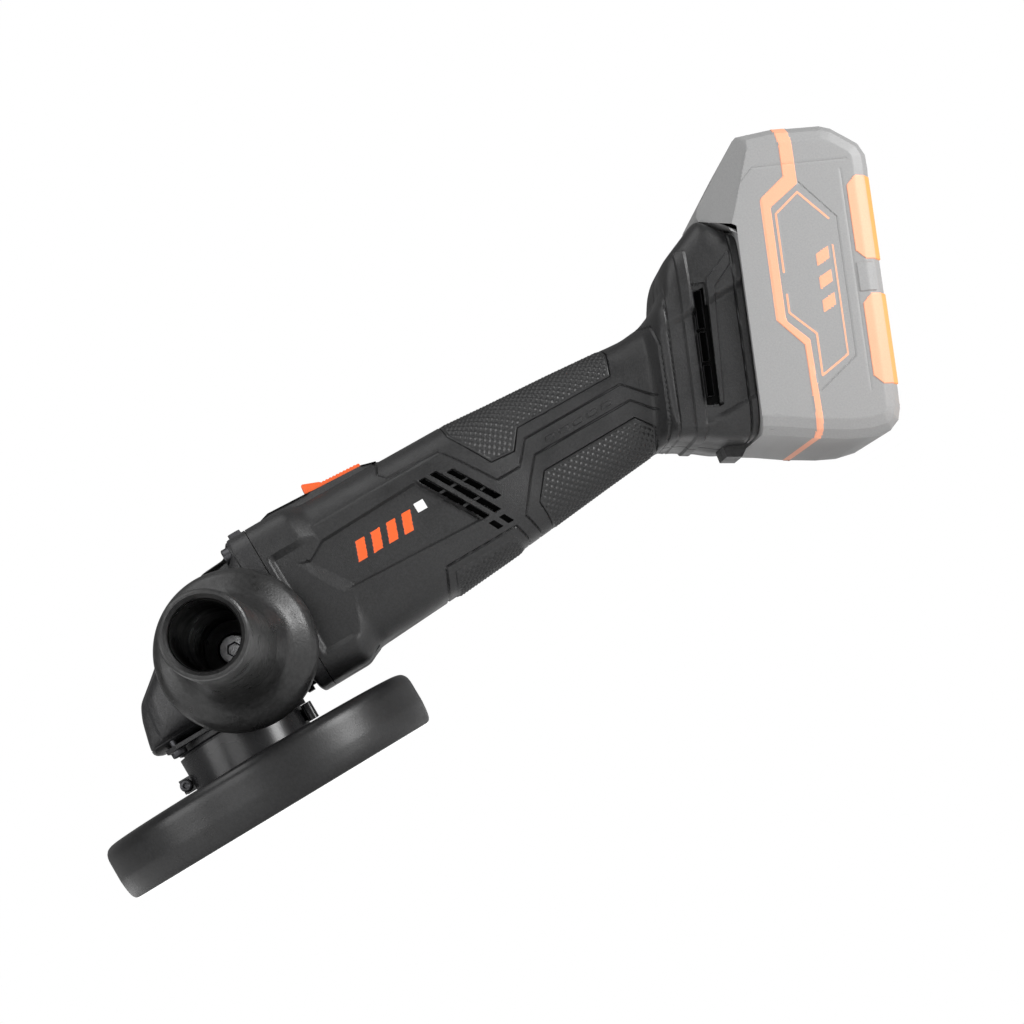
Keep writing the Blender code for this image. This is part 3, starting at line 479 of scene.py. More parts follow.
def surface(name, colour, roughness, grain, height, vary=0.12, metallic=0.0, specular=0.5, blotch=18.0):
    """Moulded, cast or coated surface: fine grain, patches of sheen and a little colour variation."""
    made, tree, shader = nodes_of(name)
    shader.inputs["Metallic"].default_value = metallic
    shader.inputs["Specular IOR Level"].default_value = specular
    patches = noise(tree, blotch, 3.0)
    rough = spread(tree, patches, roughness * (1 - vary), roughness * (1 + vary))
    tree.links.new(rough, shader.inputs["Roughness"])
    tint = tree.nodes.new("ShaderNodeMix")
    tint.data_type = "RGBA"
    tint.inputs["A"].default_value = (*[c * (1 - vary) for c in colour], 1)
    tint.inputs["B"].default_value = (*[min(1.0, c * (1 + vary)) for c in colour], 1)
    fine = noise(tree, grain * 1.8, 2.0)
    tree.links.new(spread(tree, fine, 0.0, 1.0), tint.inputs["Factor"])
    tree.links.new(tint.outputs["Result"], shader.inputs["Base Color"])
    bump = tree.nodes.new("ShaderNodeBump")
    bump.inputs["Distance"].default_value = height * MM
    bump.inputs["Strength"].default_value = 1.0
    tree.links.new(noise(tree, grain, 3.0, 0.6), bump.inputs["Height"])
    tree.links.new(bump.outputs["Normal"], shader.inputs["Normal"])
    return made


# colour, roughness, size of the grain and its height, and whatever differs from surface()'s own values
SURFACES = {
    "housing_plastic": ((0.0165, 0.0165, 0.017), 0.42, 0.5, 0.14, {"vary": 0.3}),
    "grip_rubber": ((0.0185, 0.0185, 0.019), 0.42, 0.3, 0.04, {}),
    "gear_case_metal": ((0.019, 0.019, 0.02), 0.4, 0.6, 0.16, {"vary": 0.3}),
    "guard_steel": ((0.0115, 0.0115, 0.012), 0.33, 0.7, 0.04, {"vary": 0.25, "blotch": 25.0}),
    "guard_band": ((0.02, 0.02, 0.021), 0.26, 0.6, 0.02, {}),
    "handle_rubber": ((0.0195, 0.0195, 0.0195), 0.36, 0.9, 0.1, {"vary": 0.35, "blotch": 9.0}),
    "switch_plastic": ((0.95, 0.13, 0.02), 0.42, 0.3, 0.03, {"vary": 0.06}),
    "mark_white": ((0.85, 0.85, 0.85), 0.45, 0.3, 0.02, {"vary": 0.04}),
    # painted shade: near-black, nearly unreflecting colour for the sheets behind the vents
    "vent_dark": ((0.002, 0.002, 0.002), 0.9, 0.4, 0.02, {"specular": 0.05}),
    "battery_plastic": ((0.3, 0.3, 0.3), 0.5, 0.4, 0.04, {"vary": 0.05}),
    "battery_accent": ((0.97, 0.42, 0.26), 0.5, 0.3, 0.03, {"vary": 0.05}),
    # painted shade: darker, deeper copy of the accent for the cushions' rear faces
    "accent_painted_shade": ((0.9, 0.36, 0.1), 0.45, 0.3, 0.03, {"vary": 0.05}),
    "bright_steel": ((0.55, 0.55, 0.56), 0.28, 0.5, 0.01, {"metallic": 1.0}),
    "dark_steel": ((0.07, 0.07, 0.075), 0.38, 0.4, 0.02, {"metallic": 0.9}),
    "aluminium": ((0.6, 0.6, 0.61), 0.4, 0.5, 0.03, {"metallic": 1.0}),
    "disc_abrasive": ((0.1, 0.085, 0.07), 0.9, 0.8, 0.25, {"vary": 0.35}),
    "copper": ((0.7, 0.3, 0.15), 0.35, 0.8, 0.15, {"metallic": 0.9}),
    "board": ((0.02, 0.12, 0.06), 0.45, 0.6, 0.03, {}),
    "inner_plastic": ((0.05, 0.05, 0.055), 0.55, 0.4, 0.04, {}),
    "lead_red": ((0.5, 0.02, 0.02), 0.45, 0.4, 0.02, {}),
    "lead_black": ((0.012, 0.012, 0.012), 0.45, 0.4, 0.02, {}),
    "cell_wrap": ((0.1, 0.25, 0.5), 0.4, 0.5, 0.02, {}),
}
shades = {name: surface(name, *values, **others) for name, (*values, others) in SURFACES.items()}


# ---------------------------------------------------------------- camera, floor and light

CAMERA_PLACE = (0.0569, -0.7860, -0.0011)        # metres
CAMERA_RIGHT, CAMERA_UP = Vector((0.8547, -0.0539, -0.5163)), Vector((0.5084, -0.1138, 0.8535))
LENS, SENSOR = 68.0, 36.0


def camera():
    data = bpy.data.cameras.new("camera")
    data.lens, data.sensor_width = LENS, SENSOR
    data.clip_start, data.clip_end = 0.01, 50.0
    obj = linked("camera", data)
    right = CAMERA_RIGHT.normalized()
    back = right.cross(CAMERA_UP).normalized()
    axes = Matrix((right, back.cross(right), back)).transposed()
    obj.matrix_world = Matrix.Translation(CAMERA_PLACE) @ axes.to_4x4()
    bpy.context.scene.camera = obj


FLOOR_RADIUS = 0.55
FLOOR_GLOW, FLOOR_GLOW_SEEN = 0.2, 0.45          # on the tool, and what the camera sees on top of that


def floor():
    """Pale disc just under the tool, that glows so that its edge is lost in the white round it."""
    angle = np.radians(np.linspace(0, 360, 97))[:-1]
    rim = np.stack([np.cos(angle), np.sin(angle), 0 * angle], axis=1) * FLOOR_RADIUS
    points = [(0.0, 0.0, 0.0)] + rim.tolist()
    faces = [(0, 1 + i, 1 + (i + 1) % len(rim)) for i in range(len(rim))]
    data = bpy.data.meshes.new("floor")
    data.from_pydata(points, [], faces)
    made, tree, shader = nodes_of("floor")
    shader.inputs["Base Color"].default_value = (0.95, 0.95, 0.95, 1)
    shader.inputs["Roughness"].default_value = 0.8
    shader.inputs["Emission Color"].default_value = (1, 1, 1, 1)
    path = tree.nodes.new("ShaderNodeLightPath")
    glow = tree.nodes.new("ShaderNodeMath")
    glow.operation = "MULTIPLY_ADD"
    glow.inputs[1].default_value, glow.inputs[2].default_value = FLOOR_GLOW_SEEN, FLOOR_GLOW
    tree.links.new(path.outputs["Is Camera Ray"], glow.inputs[0])
    tree.links.new(glow.outputs["Value"], shader.inputs["Emission Strength"])
    data.materials.append(made)
    obj = linked("floor", data)
    obj.location = (0.15, 0.0, -0.0016)


def area_light(name, place, aim, size, power):
    data = bpy.data.lights.new(name, "AREA")
    data.shape, data.size, data.size_y = "RECTANGLE", size[0], size[1]
    data.energy = power
    obj = linked(name, data)
    obj.location = place
    obj.rotation_mode = "QUATERNION"
    obj.rotation_quaternion = (Vector(aim) - Vector(place)).to_track_quat("-Z", "Y")


def light():
    """White surroundings for the camera, dimmer ones for the surfaces, and four softboxes."""
    world = bpy.data.worlds.new("studio")
    world.use_nodes = True
    tree = world.node_tree
    back = tree.nodes["Background"]
    back.inputs["Color"].default_value = (1, 1, 1, 1)
    back.inputs["Strength"].default_value = 0.2
    seen = tree.nodes.new("ShaderNodeBackground")
    seen.inputs["Color"].default_value = (1, 1, 1, 1)
    path = tree.nodes.new("ShaderNodeLightPath")
    mix = tree.nodes.new("ShaderNodeMixShader")
    tree.links.new(path.outputs["Is Camera Ray"], mix.inputs["Fac"])
    tree.links.new(back.outputs["Background"], mix.inputs[1])
    tree.links.new(seen.outputs["Background"], mix.inputs[2])
    tree.links.new(mix.outputs["Shader"], tree.nodes["World Output"].inputs["Surface"])
    bpy.context.scene.world = world
    bpy.context.scene.view_settings.view_transform = "Standard"
    area_light("side softbox", (0.95, -0.45, 0.2), (0.1, 0, 0.06), (0.35, 0.5), 7.3)
    area_light("overhead softbox", (0.0, -0.25, 1.0), (0.1, 0, 0.06), (0.8, 0.8), 4.0)
    area_light("left fill", (-0.75, -0.55, 0.25), (0, 0, 0.05), (0.5, 0.4), 2.4)
    area_light("front fill", (-0.3, -1.1, 0.35), (0.1, 0, 0.06), (0.6, 0.6), 3.2)


# ---------------------------------------------------------------- housing

UPPER_PAD = [(130.5, 110), (130.5, 91.5), (140.2, 73.4), (151, 72.6), (157, 80.3), (200.5, 79.5),
             (204.8, 89), (204.8, 110)]
LOWER_PAD = [(150.2, 20), (150.2, 39), (149, 50.5), (157, 60.6), (200, 60.6), (206, 53), (203, 44),
             (203, 20)]
FRONT_PAD = [(102.3, 20), (102.3, 35), (106, 44.2), (134, 44.2), (137.4, 37), (137.4, 20)]
BADGE = [(53, 78), (60, 76.5), (67, 81), (110.5, 82.3), (126.5, 55.5), (69, 58.5), (64.5, 58)]
BADGE_DEPTH, BADGE_WALL, FACET_WIDTH = 1.7, 0.9, 5.2
SLOTS = [((111.6, 81.5), (126.2, 56)), ((116.8, 81.5), (131.4, 56)), ((123, 79), (134.4, 60.5))]
SHORT_SLOTS = [[(126.8, 53.4), (129.4, 53.4), (131.6, 49.4), (129, 49.4)],
               [(131.6, 53.4), (134.2, 53.4), (136.4, 49.4), (133.8, 49.4)]]
FOOT_SLOTS = [(5.7, 21), (-9, 4.1), (-23.5, -10.6)]


def facet(p):
    """Distance from the slanted front edge of the sunken panel."""
    x, z = side_view(p)
    return ((x - 53.0) * 20.0 + (z - 78.0) * 11.5) / 23.07


def slot_outline(top, bottom, start=0.0, end=1.0, width=2.6):
    ax, az = top[0] + (bottom[0] - top[0]) * start, top[1] + (bottom[1] - top[1]) * start
    bx, bz = top[0] + (bottom[0] - top[0]) * end, top[1] + (bottom[1] - top[1]) * end
    return [(ax, az), (bx, bz), (bx + width, bz), (ax + width, az)]


def seat_outline(*corners):
    return [seat(b, a) for b, a in corners]


def bars(x, z, count, pitch, width, height, slant):
    """Row of slanted bars, a plain decoration."""
    return [[(x + pitch * k, z), (x + pitch * k + width, z), (x + pitch * k + width + slant, z + height),
             (x + pitch * k + slant, z + height)] for k in range(count)]


def dots(p, radius, height=0.6, pitch=3.0, row_pitch=1.75):
    """Height of staggered rows of small domes."""
    u, v = p[..., 0], arc_length(p)
    row = np.floor(v / row_pitch)
    across = v - (row + 0.5) * row_pitch
    shifted = u + np.where(row % 2 > 0.5, pitch / 2, 0)
    along = shifted - (np.floor(shifted / pitch) + 0.5) * pitch
    far = np.hypot(along, across) / radius
    return height * np.clip(1 - far * far, 0, 1)


def housing_features():
    found = [
        edge(opening(BADGE), 0.0, -BADGE_WALL),
        edge(lambda p: np.where(opening(BADGE)(p) < 0.5, facet(p) - FACET_WIDTH, OFF), 0.0),
        groove([(110.1, 82.5), (125.9, 55)], 1.1, 0.6),
        groove([(66, 88), (124.5, 88)], 1.2, 0.3),
        # borders of the grip's bands
        groove([(100.6, 112), (100.6, 96), (98.8, 92.7), (102, 89.2), (124.5, 88.6), (138.8, 66.4),
                (149.5, 66.5), (157, 75.3), (202, 74.8), (212, 63)]),
        groove([(145, 20), (145, 39), (141.8, 48.5), (150.5, 60), (157, 67.6), (202, 67.2), (209.5, 58)]),
        groove([(98.7, 20), (98.7, 35.5), (103.6, 46.9), (136.3, 46.9), (139.6, 38), (139.6, 20)]),
        # seam between grip and foot
        groove([(219.5, 110), (220.5, 93.5), (224.2, 88.5), (222.5, 80), (216.5, 66), (210, 51),
                (206.5, 44), (205, 20)]),
        level(UPPER_PAD, -0.9, 0.35), level(LOWER_PAD, -0.9, 0.35),
        # foot
        groove(seat_outline((-36, 31), (-36, -46)), 1.4, 0.7),
        level(seat_outline((-30, 39), (-25, 39), (-25, -43), (-30, -43)), 0.9, 0.9),
        level(seat_outline((-24.6, 24.5), (-19.2, 24.5), (-19.2, -25), (-24.6, -25)), -1, 0.4),
        level(seat_outline((-8, 37), (-19, 25.5), (-20, -25), (-17.5, -25), (-15.3, 22), (-8, 30.5)),
              0.9, 0.6),
        groove(seat_outline((-7.6, 52), (-7.6, -52)), 1.2, 0.8),
        level(seat_outline((-24.4, 4.3), (-19.8, 5.8), (-19.8, 7), (-24.4, 5.5)), 0.9, 0.2),
        level(seat_outline((-24.4, -10.4), (-19.8, -8.9), (-19.8, -7.7), (-24.4, -9.2)), 0.9, 0.2),
        # front pad's rim
        level([(102.5, 20), (102.5, 35.5), (106, 44), (134, 44), (137, 38), (137, 20)], 0.35, 0.4),
    ]
    for top, bottom in SLOTS:
        wider = slot_outline((top[0] - 0.3, top[1] + 0.4), (bottom[0] - 0.3, bottom[1] - 0.4), width=3.2)
        found.append(level(wider, -0.9, 0.3))
    found += [level(outline, 0.15, 0.15) for outline in MARK_BARS + [MARK_SQUARE]]
    return found + [level(outline, 0.5, 0.3) for outline in STRIP_BARS]


MARK_BARS = bars(75.0, 66.0, 4, 7.0, 4.2, 8.0, 3.0)
MARK_SQUARE = [(105.2, 71), (109.6, 71), (109.6, 75), (105.2, 75)]
STRIP_BARS = bars(163.5, 69.4, 5, 6.6, 4.4, 2.2, 0.8)


def housing_openings():
    outlines = [slot_outline(top, bottom, *part) for top, bottom in SLOTS
                for part in ((0, 0.3), (0.34, 0.66), (0.7, 1))]
    outlines += SHORT_SLOTS
    outlines += [seat_outline((-24.2, low), (-20.2, low + 1.5), (-20.2, high + 1.5), (-24.2, high))
                 for low, high in FOOT_SLOTS]

    def from_above(p):
        return p[..., 0], np.where(p[..., 2] > 90, p[..., 1], NOWHERE)

    switch_slot = opening([(62.9, -4.4), (92.5, -4.4), (92.5, 4.4), (62.9, 4.4)], from_above)
    return [opening(outline) for outline in outlines] + [switch_slot]


def housing_shape(p):
    """Boss corners in front, the ridge that carries the switch, the front pad's dots and the seam."""
    x, y, z = p[..., 0], p[..., 1], p[..., 2]
    height = np.zeros(x.shape)
    flat = np.clip((x - 45.0) / 2.0, 0, 1) * np.clip((85.5 - z) / 2.5, 0, 1)
    height -= flat * np.clip((z - 41.0) / 2.0, 0, 1) * np.clip(y - 30.4, 0, 3.0)
    ridge_x = [45.5, 48.0, 54.0, 71.0, 96.0, 103.0]
    ridge_z = [101.0, 101.6, 103.2, 102.3, 101.0, 98.6]
    ridge = np.interp(x, ridge_x, ridge_z, left=0, right=0) - z
    height += np.where(z > 90, np.clip(ridge, 0, 9) * eased((12.6 - y) / 2.4), 0)
    height -= 0.3 * np.clip((0.7 - y) / 0.5, 0, 1) * np.where((z > 90) & (x < 101) & (x > 46), 0.4, 1)
    deep = np.clip(-opening(BADGE)(p) / BADGE_WALL, 0, 1)
    height -= BADGE_DEPTH * np.minimum(deep, np.clip(facet(p) / FACET_WIDTH, 0, 1))
    inside = np.clip(-opening(FRONT_PAD)(p) - 0.8, 0, 1)
    height += inside * dots(p, 1.0)
    return height


def mirrored(points, side=-1):
    return np.asarray(points) * np.array([1.0, side, 1.0])


def on_side(side, points, faces):
    """Right-hand (points, faces) for one side, with the faces turned over where that is the left."""
    return mirrored(points, side), [tuple(face) if side > 0 else tuple(face)[::-1] for face in faces]


def both_grids(grid):
    return [grid, mirrored(grid)[:, ::-1]]


def painted_shade_liners(grid):
    """Near-black sheets just inside the slots: painted shade for the dark depth behind the vents."""
    coarse = grid[::3, ::3]
    shallow = opening([(125.5, 54.2), (136.5, 54.2), (137.5, 48), (127.5, 48)])(coarse) < 0
    inner = coarse - grid_normals(coarse) * np.where(shallow, 1.7, 2.9)[..., None]
    quads = grid_quads(coarse)
    middle = (coarse[:-1, :-1] + coarse[1:, 1:]) / 2
    near = opening([(107, 84), (123, 47), (141, 47), (128, 84)])(middle) < 0
    near |= opening([(-27, 26), (-18, 26), (-18, -25), (-27, -25)], seat_view)(middle) < 0
    return inner.reshape(-1, 3), quads[near].tolist()


def housing():
    grid = loft_base(HOUSING, 0.54, foot=True)
    grid[..., 1] = np.maximum(grid[..., 1], SPLIT)
    paints = [(opening(outline), 1) for outline in MARK_BARS] + [(opening(MARK_SQUARE), 2)]
    points, quads, slots = skin(grid, housing_features(), housing_openings(), housing_shape, paints)
    # near-black sheets behind the vents, painted shade for their dark depth
    shade_lining = painted_shade_liners(grid)

    def unwanted(centre, normal):
        """The parting face, and the CAD ridge under this one."""
        x, y, z = centre
        if abs(y) < 0.3 and abs(normal[1]) > 0.9:
            return True
        return z > 97.5 and abs(y) > 8 and x < 101 and x > 46

    def proud(centre):
        """How far CAD faces may stand out: further at the neck, where the skin is smoother."""
        return 3.0 if centre[0] > 204 and seat_view(centre)[0] < -17.5 else 0.4

    for side, word, whole in zip((-1, 1), ("left", "right"), both_grids(grid)[::-1]):
        inside = inner_faces("housing_" + word, [whole], 2.4, unwanted, proud)
        shell = together(on_side(side, points, quads), inside, on_side(side, *shade_lining))
        make("shell_" + word, *shell, "tool", "housing_plastic", "housing_" + word,
             # the sheets behind the vents take slot 3, the painted shade
             slots + [0] * len(inside[1]) + [3] * len(shade_lining[1]),
             ["housing_plastic", "switch_plastic", "mark_white", "vent_dark"])


def pads():
    """Soft inserts in the grip's recesses, covered in small domes."""
    grid = loft_base([row for row in HOUSING if 130 < row[0] < 207], 0.36)
    grid[..., 1] = np.maximum(grid[..., 1], SPLIT)
    for word, outline in (("upper", UPPER_PAD), ("lower", LOWER_PAD)):

        def inset(p, outline=outline):
            return opening(outline)(p) + 0.25

        def shape(p):
            inside = np.clip((-inset(p) - 1.2) / 0.4, 0, 1)
            drop = np.clip(-inset(p) / 0.8, 0, 1)
            height = -0.95 + 0.95 * np.sqrt(1 - (1 - drop) ** 2)
            height -= 0.35 * np.clip((0.6 - p[..., 1]) / 0.4, 0, 1)
            height -= 0.35 * np.clip((-inset(p) - 0.8) / 0.5, 0, 1)
            return height + inside * dots(p, 1.1)

        points, faces, _ = skin(grid, [edge(inset, -0.4, -0.8)], [beyond(inset)], shape)
        for side, name in ((-1, "left"), (1, "right")):
            make(f"pad_{word}_{name}", *on_side(side, points, faces), "tool", "grip_rubber",
                 f"grip_{word}_{name}", sharp=50)


# ---------------------------------------------------------------- gear head

NOSE_NORMAL = (-0.97, 0.0, 0.24)


def head():
    grid = loft_base(GEAR_CASE, 0.5, smooth=1.0)
    features = [
        groove([(34, 110), (34.6, 90), (35.4, 60), (36.4, 20)], 0.6, 0.4),
        level([(-24, 63), (-2, 79.5), (4, 50), (-8, 45.5), (-26, 45.5)], 0.45, 1),
        groove([(-40, 44.6), (32, 44.6)], 0.5, 0.35),
    ]

    def button_hole(p):
        across = np.maximum(np.abs(p[..., 0] - 38.25) - 3.05, p[..., 1] - 7.3)
        return np.where(p[..., 2] > 90, across, OFF)

    def screw_hole(p, z):
        far = np.hypot(p[..., 1] - 26.0, p[..., 2] - z)
        return np.where((p[..., 0] > 20) & (p[..., 0] < 34.0), far - 4.4, OFF)

    holes = [lambda p: screw_hole(p, 38.2), lambda p: screw_hole(p, 94.0), button_hole]
    points, faces, _ = skin(grid, features, holes)
    left = on_side(-1, points, faces)
    # flat front end, between the first sections of both sides
    top = grid.shape[1] - 1
    nose = np.concatenate([points[:top + 1], left[0][:top + 1]])
    nose_faces = [[top + 2, 1, 0], [2 * top, top, top - 1]]
    nose_faces += [[top + 1 + i, top + 2 + i, i + 1, i] for i in range(1, top - 1)]

    def covered(centre, normal):
        return centre[0] < -28.0 and np.dot(normal, NOSE_NORMAL) > 0.9

    inside = inner_faces("gear_case", both_grids(grid), 2.0, covered, 0.35)
    casting = together((points, faces), left, (nose, nose_faces), inside)
    make("head_casting", *casting, "tool", "gear_case_metal", "gear_case", sharp=34)


def screw(name, axis, place, head_shape, shank, body="tool"):
    """Countersunk screw with a six-lobed socket."""
    radius, low, high = head_shape
    inward = 1 if shank[1] > high else -1
    outer, seat_at = (low, high) if inward > 0 else (high, low)
    profile = [(radius * share, outer + inward * depth) for share, depth in
               ((0, 1.4), (0.42, 1.4), (0.42, 0.15), (0.5, 0), (0.78, 0), (0.93, 0.2), (1, 0.6))]
    profile += [(radius, seat_at), (shank[0], seat_at), (shank[0], shank[1]), (0, shank[1])]

    def lobes(angle, r):
        return np.where(r < radius * 0.46, 1 + 0.13 * np.cos(6 * angle), 1.0)

    make(name + "_turned", *lathe(profile, axis, place, 48, ripple=lobes), body, "dark_steel", name,
         turn=True)


def screws():
    for number, (x, y) in enumerate([(x, y) for x in (-22.5, 22.5) for y in (-21, 21)], 1):
        screw(f"cover_screw_{number}", "Z", (x, y), (3.2, 37, 39.4), (1.5, 51))
    for number, (y, z) in enumerate([(side * 26, z) for side in (-1, 1) for z in (38.2, 94)], 1):
        screw(f"flange_screw_{number}", "X", (y, z), (3.8, 30.6, 33.9), (1.9, 57))
    places = [(62.3, 37.4), (128.5, 45.5), (156.5, 83.5), (209, 84), (209.5, 50.5)]
    for number, place in enumerate(places, 1):
        screw(f"housing_screw_{number}", "Y", place, (3.1, 12.3, 14.8), (1.5, -11.5))
    screw("guard_screw", "Y", (-28.2, 26.5), (2.5, -8, -5.3), (1.1, 7.5), "guard")


def spindle_set():
    thread = []
    for k in range(34):
        thread += [(6.9, 0.9 + 0.6 * k), (6.35, 1.2 + 0.6 * k)]
    shaft = [(0, 0), (6.2, 0)] + thread + [(6.9, 21.2), (9.5, 21.2), (9.5, 24.2), (6, 24.2), (6, 66),
                                           (5, 66.6), (5, 76.2), (0, 76.2)]
    make("spindle_turned", *lathe(shaft), "spindle", "bright_steel", "spindle", turn=True)
    flange = [(7.2, 11.9), (11, 11.9), (11, 14.5), (19.7, 14.5), (20.6, 14.7), (21, 15.2),
              (21, 17.9), (20.6, 18.6), (13, 20.9), (7.2, 20.9)]
    make("flange_turned", *lathe(flange), "spindle", "dark_steel", "inner_flange", turn=True)
    disc = [(11.3, 11.7), (62.2, 11.7), (62.5, 12), (62.5, 13.9), (62.2, 14.2), (11.3, 14.2)]
    make("disc_turned", *lathe(disc, steps=180), "spindle", "disc_abrasive", "cutting_disc", turn=True)


GUARD_RADIUS, GUARD_BOTTOM, GUARD_CORNER = 69.0, -1.5, 6.0
GUARD_START, GUARD_SWEEP = 190.0, 182.0          # degrees


def guard():
    outer = [(24.5, 22), (34, 22), (38, 21.4), (65.2, 21.2), (67.4, 20.4), (68.6, 18.6), (69, 16.5),
             (69, 7), (68.6, 3), (68.2, 0.9), (67.6, -1), (66.5, -1.5), (64.5, -1.5)]
    inner = [(24.5, 20.2), (33.6, 20.2), (37.8, 19.6), (65, 19.4), (66.2, 18.9), (66.9, 17.8),
             (67.2, 16.3), (67.2, 7), (66.8, 3.2), (66.4, 1.5), (65.9, 0.6), (65.3, 0.3), (64.5, 0.3)]
    outer, inner = smooth_line(outer, 0.6, 0.7), smooth_line(inner, 0.6, 0.7)
    outer[:, 0] = np.minimum(outer[:, 0], GUARD_RADIUS)
    outer[:, 1] = np.maximum(outer[:, 1], GUARD_BOTTOM)
    count = min(len(outer), len(inner))
    outer = outer[np.linspace(0, len(outer) - 1, count).round().astype(int)]
    inner = inner[np.linspace(0, len(inner) - 1, count).round().astype(int)]
    profile = np.concatenate([outer, inner[::-1]])
    # the free corners of both ends are rounded
    short = np.maximum(GUARD_CORNER - (profile[:, 1] - GUARD_BOTTOM), 0.0)
    inset = GUARD_CORNER - np.sqrt(np.maximum(GUARD_CORNER ** 2 - short ** 2, 0.0))
    inset = np.degrees(inset / profile[:, 0])
    share = np.linspace(0, 1, 201)[:, None]
    angle = np.radians(GUARD_START + inset + (GUARD_SWEEP - 2 * inset) * share)
    points = np.stack([profile[:, 0] * np.cos(angle), profile[:, 0] * np.sin(angle),
                       np.broadcast_to(profile[:, 1], angle.shape)], axis=2)
    index = numbered(points)
    faces = bands(index[:-1], index[1:]) + strips(index[0]) + strips(index[-1])
    ring = lathe([(24.5, 20.35), (33, 20.35), (33, 21.85), (24.5, 21.85)], arc=(8, 194), steps=90)
    make("guard_sheet", *together((points, faces), ring), "guard", "guard_steel", "guard_shell",
         turn=True, sharp=40)


def side_handle():
    rim = [(11.5, -158.5), (12, -158), (12, -161), (12.9, -162.2), (12.9, -162.6), (13.2, -163),
           (13.9, -163), (14.5, -162.6), (14.9, -161.6)]
    grip = smooth_line([(14.9, -161.6), (15.4, -135), (15.8, -105), (16.3, -80), (17, -66.5)], 1.5, 3)
    flare = smooth_line([(17, -66.5), (18.2, -63), (20.5, -57), (23, -54.6), (26, -52.8), (29, -51),
                         (30.8, -48.5), (31.4, -45), (31.4, -40), (30.6, -37.5), (28, -35.5)], 0.5, 1)
    bore = [(4.6, -35.5), (4.6, -46), (11.5, -46)]
    profile = rim[:-1] + grip[:-1].tolist() + flare.tolist() + bore
    make("handle_grip", *lathe(profile, "Y", HANDLE_PLACE, 160), "side_handle", "handle_rubber",
         "side_handle", turn=True, sharp=20)


# ---------------------------------------------------------------- switch and buttons

def switch():
    """Knob with a thumb rest and fine ribs across its slope."""
    half = 7.5
    top = [(71, 102.7), (71, 106), (71.3, 106.6), (71.9, 106.85), (78.2, 104.35)]
    for k in range(10):
        x = 79.6 + 1.55 * k
        z = 103.8 - (x - 79.5) / 16.5
        top += [(x - 0.45, z - 0.25), (x - 0.1, z), (x + 0.45, z), (x + 0.8, z - 0.25)]
    top += [(95.6, 102.7), (96, 102.4), (96, 101.3)]
    points = []
    widths = [-half, -half + 0.12, -half + 0.45, half - 0.45, half - 0.12, half]
    drops = [0.45, 0.12, 0.0, 0.0, 0.12, 0.45]
    x, z = np.array(top).T
    base = 102.7 - 1.4 / 25.0 * (x - 71.0)
    for y, drop in zip(widths, drops):
        across = [y] * len(x)
        points += [*zip(x, across, np.maximum(z - drop, base))] + [*zip(x, across, base)][::-1]
    index = np.arange(len(points)).reshape(len(widths), -1)
    faces = bands(index[:-1], index[1:]) + strips(index[0]) + strips(index[-1])
    stem = [(x, y, z) for z in (95.6, 102.1) for x, y in ((76, -3.6), (88, -3.6), (88, 3.6), (76, 3.6))]
    stem_faces = [[3, 2, 1, 0]] + bands(np.arange(4)[None], np.arange(4, 8)[None])
    make("switch_cap", *together((points, faces), (stem, stem_faces)), "switch", "switch_plastic",
         "switch_knob", turn=True, sharp=38)


# ---------------------------------------------------------------- battery

OUTLINE = [
    (-16.3, 51.8), (-16.9, 54), (-16, 58), (0, 81.5), (1.3, 82.6), (15, 84.2),
    (36, 83.8), (40.5, 82.3), (50.7, 75), (53.2, 70), (53.4, 64), (52.8, 55), (52.8, -28),
    (52.6, -34.5), (51.3, -39.3), (47.5, -43.2), (39, -44.8), (30, -44.5), (16, -42.7),
    (4, -40.4), (-4.2, -39.3), (-4.2, 45),
]
BEVEL_OUTLINE = [(-60, -6.7)] + OUTLINE[3:21] + [(-60, -31.8)]
STRIPE = [(15.5, 90), (17, 75), (17, 63), (7, 55), (6.5, 54), (6.5, 5), (16.5, -6), (17, -40), (13, -55),
          (16, -55), (20, -40), (19, -4), (11, 4), (10.5, 6), (10.5, 50.8), (22.5, 59.5), (22.5, 75),
          (21.5, 90)]
PIPING = [[(12.2, 24), (12.2, 48), (22, 56), (33.2, 44)],
          [(33.2, 33), (33.2, -11.7), (22, -19), (22, -2), (12.2, 7.5), (12.2, 15)]]
BATTERY_BARS = [[(26, 6 + 9.5 * k), (31.5, 9 + 9.5 * k), (31.5, 14 + 9.5 * k), (26, 11 + 9.5 * k)]
                for k in range(3)]
BUMPERS = {"upper_bumper": (25.6, 61.0), "lower_bumper": (-25.4, 12.4)}
SHOULDER_SLOPE = 1.197
RIM_HALF, SIDE_HALF = 31.5, 37.5                 # half widths of the battery's ends and of its flat sides
LATCH_PLACE = (-8.5, 69.0)
LATCH_TURN = math.atan2(21.3, 14.5)


def past_shoulder(p):
    """How far a point is towards the release end from the line where the sides start to narrow."""
    b, a = seat_view(p)
    return -6.2 + (a - 46.0) * 11.5 / 34.0 - b


def narrowed(p):
    """Half width that the slanted facets of the release end leave."""
    return np.where(past_shoulder(p) > 0, 37.0 - SHOULDER_SLOPE * past_shoulder(p), NOWHERE)


def side_bevel(p):
    """Puts points of the right side at the width that their distance to the outline gives."""
    inside = -outline_distance(*seat_view(p), BEVEL_OUTLINE)
    shown = np.array(p)
    half = np.interp(inside, [0.0, 3.0, 7.0], [RIM_HALF, 35.8, SIDE_HALF])
    shown[..., 1] = np.minimum(half, narrowed(p))
    return shown


def battery_side_grid(pitch):
    b, a = np.meshgrid(np.arange(-17.6, 54.0, pitch), np.arange(-46.0, 85.0, pitch), indexing="ij")
    x, z = seat(b, a)
    return side_bevel(np.stack([x, np.zeros_like(x), z], axis=2))


def thin(line):
    return lambda p: line_distance(*seat_view(p), line) - 0.42


